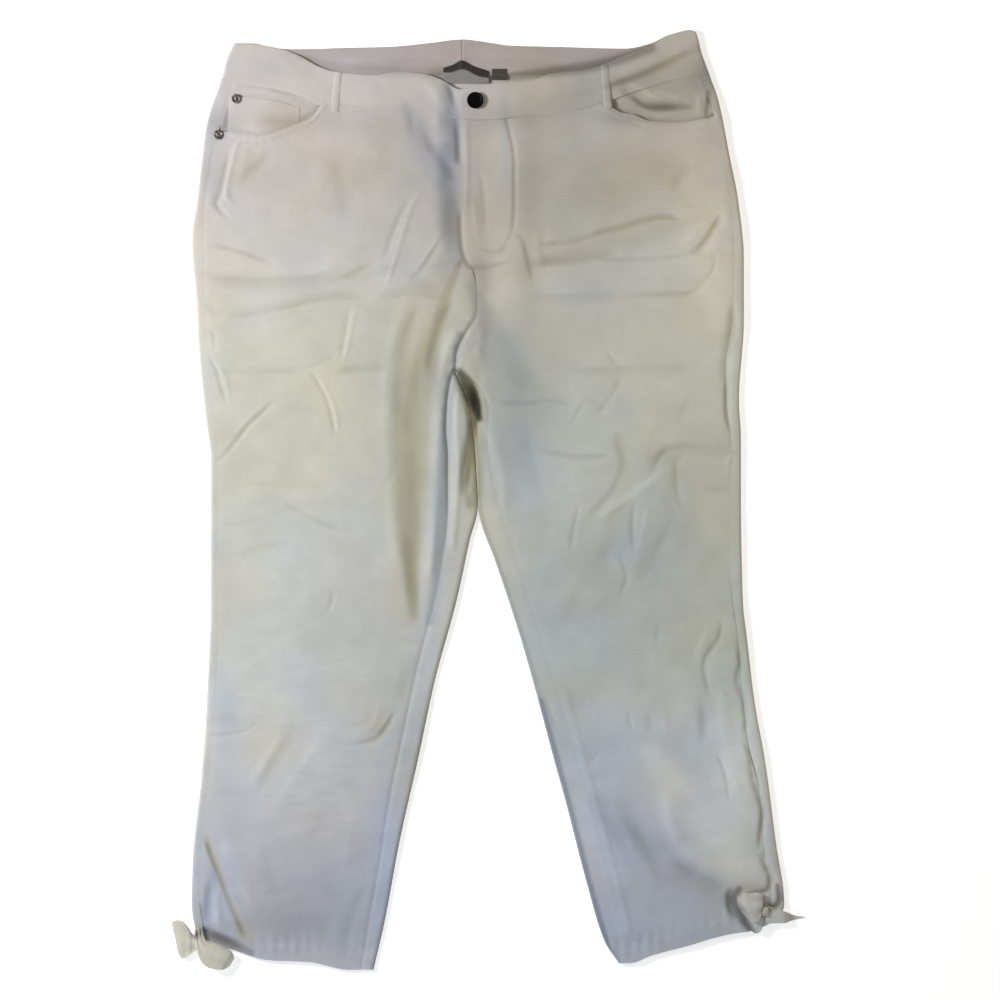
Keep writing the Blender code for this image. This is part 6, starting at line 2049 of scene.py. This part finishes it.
def line_places(line, pitch):
    """Even places along a line, each with its heading."""
    path = smooth_path(line, 8)
    lengths = np.concatenate([[0], np.cumsum(np.hypot(*np.diff(path, axis=0).T))])
    count = max(2, int(lengths[-1] / pitch))
    at = (np.arange(count) + 0.5) * lengths[-1] / count
    x, y = (np.interp(at, lengths, path[:, k]) for k in (0, 1))
    ahead = np.minimum(at + 0.5, lengths[-1])
    behind = np.maximum(at - 0.5, 0)
    dx, dy = (np.interp(ahead, lengths, path[:, k]) - np.interp(behind, lengths, path[:, k])
              for k in (0, 1))
    return x, y, np.arctan2(dy, dx)


def stitch_row(name, template, lines, height, pitch=STITCH_PITCH):
    """Copies of the stitch along lines, tilted with the surface, joined into one piece."""
    copies = []
    for line in lines:
        x, y, heading = line_places(line, pitch)
        z = height(x, y)
        step_x, step_y = np.cos(heading), np.sin(heading)
        rise = height(x + step_x, y + step_y) - height(x - step_x, y - step_y)
        roll = height(x - step_y, y + step_x) - height(x + step_y, y - step_x)
        for i in range(len(x)):
            mesh = template.data.copy()
            place = Matrix.Translation((x[i] * MM, y[i] * MM, (z[i] - STITCH_SINK) * MM))
            turn = Matrix.Rotation(heading[i], 4, "Z")
            climb = Matrix.Rotation(-math.atan(rise[i] / 2), 4, "Y")
            lean = Matrix.Rotation(math.atan(roll[i] / 2), 4, "X")
            mesh.transform(place @ turn @ climb @ lean)
            copy = bpy.data.objects.new(name, mesh)
            bpy.context.scene.collection.objects.link(copy)
            copies.append(copy)
    only(copies[0])
    for copy in copies:
        copy.select_set(True)
    bpy.ops.object.join()
    finish_piece(copies[0], "twill")


def above(height, wall):
    """The height function of a sheet's top face."""
    return lambda x, y: np.asarray(height(x, y)[0]) + wall / 2


def hem_line(hem, start_x, end_x):
    height = TURN_UP - HEM_STITCH_DROP
    return [(x, curve(hem, x) + height) for x in np.linspace(start_x, end_x, 12)]


def edge_line(edge, start_x, end_x, drop, count=10):
    return [(x, float(curve(edge, x)) - drop) for x in np.linspace(start_x, end_x, count)]


def beside_line(seam, start_y, end_y, offset, count=8):
    return [(float(curve(seam, y)) + offset, y) for y in np.linspace(start_y, end_y, count)]


def bar(x, y, length, heading=0.0):
    """Three short rows close together, as a bartack."""
    along = (math.cos(heading) * length / 2, math.sin(heading) * length / 2)
    side = (-math.sin(heading), math.cos(heading))
    return [
        [(x - along[0] + side[0] * k, y - along[1] + side[1] * k),
         (x + along[0] + side[0] * k, y + along[1] + side[1] * k)]
        for k in BAR_ROWS
    ]


def make_stitching(right_loop_height, left_loop_height):
    template = stitch_template()
    right = above(right_lie, CLOTH_WALL)
    left = above(left_lie, CLOTH_WALL)
    near, far = MOUTH_STITCHES
    stitch_row("stitching_front_right", template, [
        hem_line(RIGHT_HEM, -283, -132),
        edge_line(RIGHT_MOUTH, -272, -176, near), edge_line(RIGHT_MOUTH, -272, -178, far),
        beside_line(CROTCH_SEAM, 140, 232, -2.4),
    ] + bar(-272, 374, 7, 1.2), right)
    stitch_row("stitching_front_left", template, [
        hem_line(LEFT_HEM, 146, 284),
        edge_line(LEFT_MOUTH, 122, 228, near), edge_line(LEFT_MOUTH, 124, 228, far),
        FLY_STITCH, [(x - 5.5, y + 1.5) for x, y in FLY_STITCH[:-2]],
        beside_line(FLY_EDGE, 262, 386, 2.0),
    ] + bar(-11, 243, 8, 0.6) + bar(24, 330, 7, 1.5), left)
    for name, side, start, end, across in (
        ("stitching_band_right", Right, -255, -38, []),
        ("stitching_band_left", Left, -22, 208, [TAB_STITCH]),
    ):
        def height(x, y, side=side):
            return band_front_lie(x, y, side)[0] + BAND_WALL / 2
        stitch_row(name, template, [
            edge_line(side.band_top, start, end, BAND_STITCH, 18),
            edge_line(side.band_seam, start - 6, end + 3, -BAND_STITCH, 18),
        ] + across, height)
    stitch_row("stitching_coin", template, [
        edge_line(COIN_TOP, -260, -196, drop) for drop in COIN_STITCHES
    ], above(coin_height, COIN_WALL))
    for name, ends, height in (
        ("stitching_loop_right", RIGHT_LOOP, right_loop_height),
        ("stitching_loop_left", LEFT_LOOP, left_loop_height),
    ):
        def loop_top(x, y, height=height):
            return height(x, y) + LOOP_WALL / 2 + 0.1
        (tx, ty), (bx, by) = ends
        lines = [[(bx + k, by + 1.5), (tx + k, ty - 1.5)] for k in (-2.7, 2.7)]
        lines += bar(tx, ty - 2.0, 6.5) + bar(bx, by + 2.0, 6.5)
        stitch_row(name, template, lines, loop_top, LOOP_PITCH)
    bpy.data.objects.remove(template)


# ---------------------------------------------------------------- floor, light and camera

FLOOR_SIZE = 6.0
FRAME_WIDTH = 1.03
CAMERA_X = 0.0129
LENS = 85.0
# Name, place, what it points at, width, power and colour
LIGHTS = (
    ("key", (-1.15, 0.36, 0.86), (-0.05, 0.0, 0.0), 0.40, 19.0, (0.965, 0.96, 0.985)),
    ("top", (-0.20, 0.1, 1.9), (-0.05, 0.0, 0.0), 0.9, 2.0, (1.0, 0.93, 0.80)),
    ("side", (1.15, 0.30, 0.70), (0.2, 0.05, 0.0), 0.5, 2.6, (1.0, 0.90, 0.70)),
    ("foot", (-0.1, -1.30, 0.7), (0.05, -0.25, 0.0), 0.7, 3.2, (0.62, 0.78, 1.0)),
)


def make_floor():
    floor = new_shape(bpy.ops.mesh.primitive_plane_add, "floor", size=FLOOR_SIZE)
    material, tree, shader = open_material("floor_paper")
    speckle = noise(tree, object_place(tree), Scale=60.0, Detail=3.0)
    plug(tree, shader, Base_Color=mix_colour(tree, speckle, *PAPER), Roughness=0.9,
         Emission_Color=(1.0, 1.0, 1.0), Emission_Strength=0.55)
    floor.data.materials.append(material)


def make_lights():
    for name, place, target, size, power, colour in LIGHTS:
        light = bpy.data.lights.new(name, "AREA")
        light.shape = "DISK"
        light.size = size
        light.energy = power
        light.color = colour
        lamp = bpy.data.objects.new(name, light)
        bpy.context.scene.collection.objects.link(lamp)
        lamp.location = place
        towards = Vector(target) - Vector(place)
        lamp.rotation_euler = towards.to_track_quat("-Z", "Y").to_euler()
    world = bpy.data.worlds.new("studio")
    world.use_nodes = True
    background = world.node_tree.nodes["Background"]
    background.inputs["Color"].default_value = ROOM_COLOUR
    background.inputs["Strength"].default_value = ROOM_STRENGTH
    bpy.context.scene.world = world


def make_camera():
    data = bpy.data.cameras.new("camera")
    data.lens = LENS
    camera = bpy.data.objects.new("camera", data)
    bpy.context.scene.collection.objects.link(camera)
    camera.location = (CAMERA_X, 0.0, FRAME_WIDTH * LENS / data.sensor_width)
    data.clip_end = 50.0
    bpy.context.scene.camera = camera
    bpy.context.scene.view_settings.view_transform = "Standard"


# ---------------------------------------------------------------- the whole

make_camera()
make_lights()
make_floor()
TWILL_WEAVE = make_twill_weave()
CLOTH_TONE = make_cloth_tone()
CLOTH = {
    "twill": cloth_finish("trouser_twill", CREAM, CHALK),
    "facing": cloth_finish("pocket_facing_twill", *FACING_TONES),
    # the inside band's twill, darkened as painted shade
    "inner": cloth_finish("inside_band_twill_shaded", INNER_SHADED_CREAM, INNER_SHADED_CREAM),
    "tie": cloth_finish("tie_twill", *TIE_TONES, leaning=False),
    "pale_tie": cloth_finish("tie_twill_pale", *PALE_TIE_TONES, leaning=False),
    "shaded_knot": cloth_finish("tie_knot_shaded", *KNOT_SHADED_TONES, leaning=False),
}
make_panels()
make_waist()
loop_heights = make_loops()
label()
size_tag()
make_ties()
make_button()
make_rivets()
make_stitching(*loop_heights)
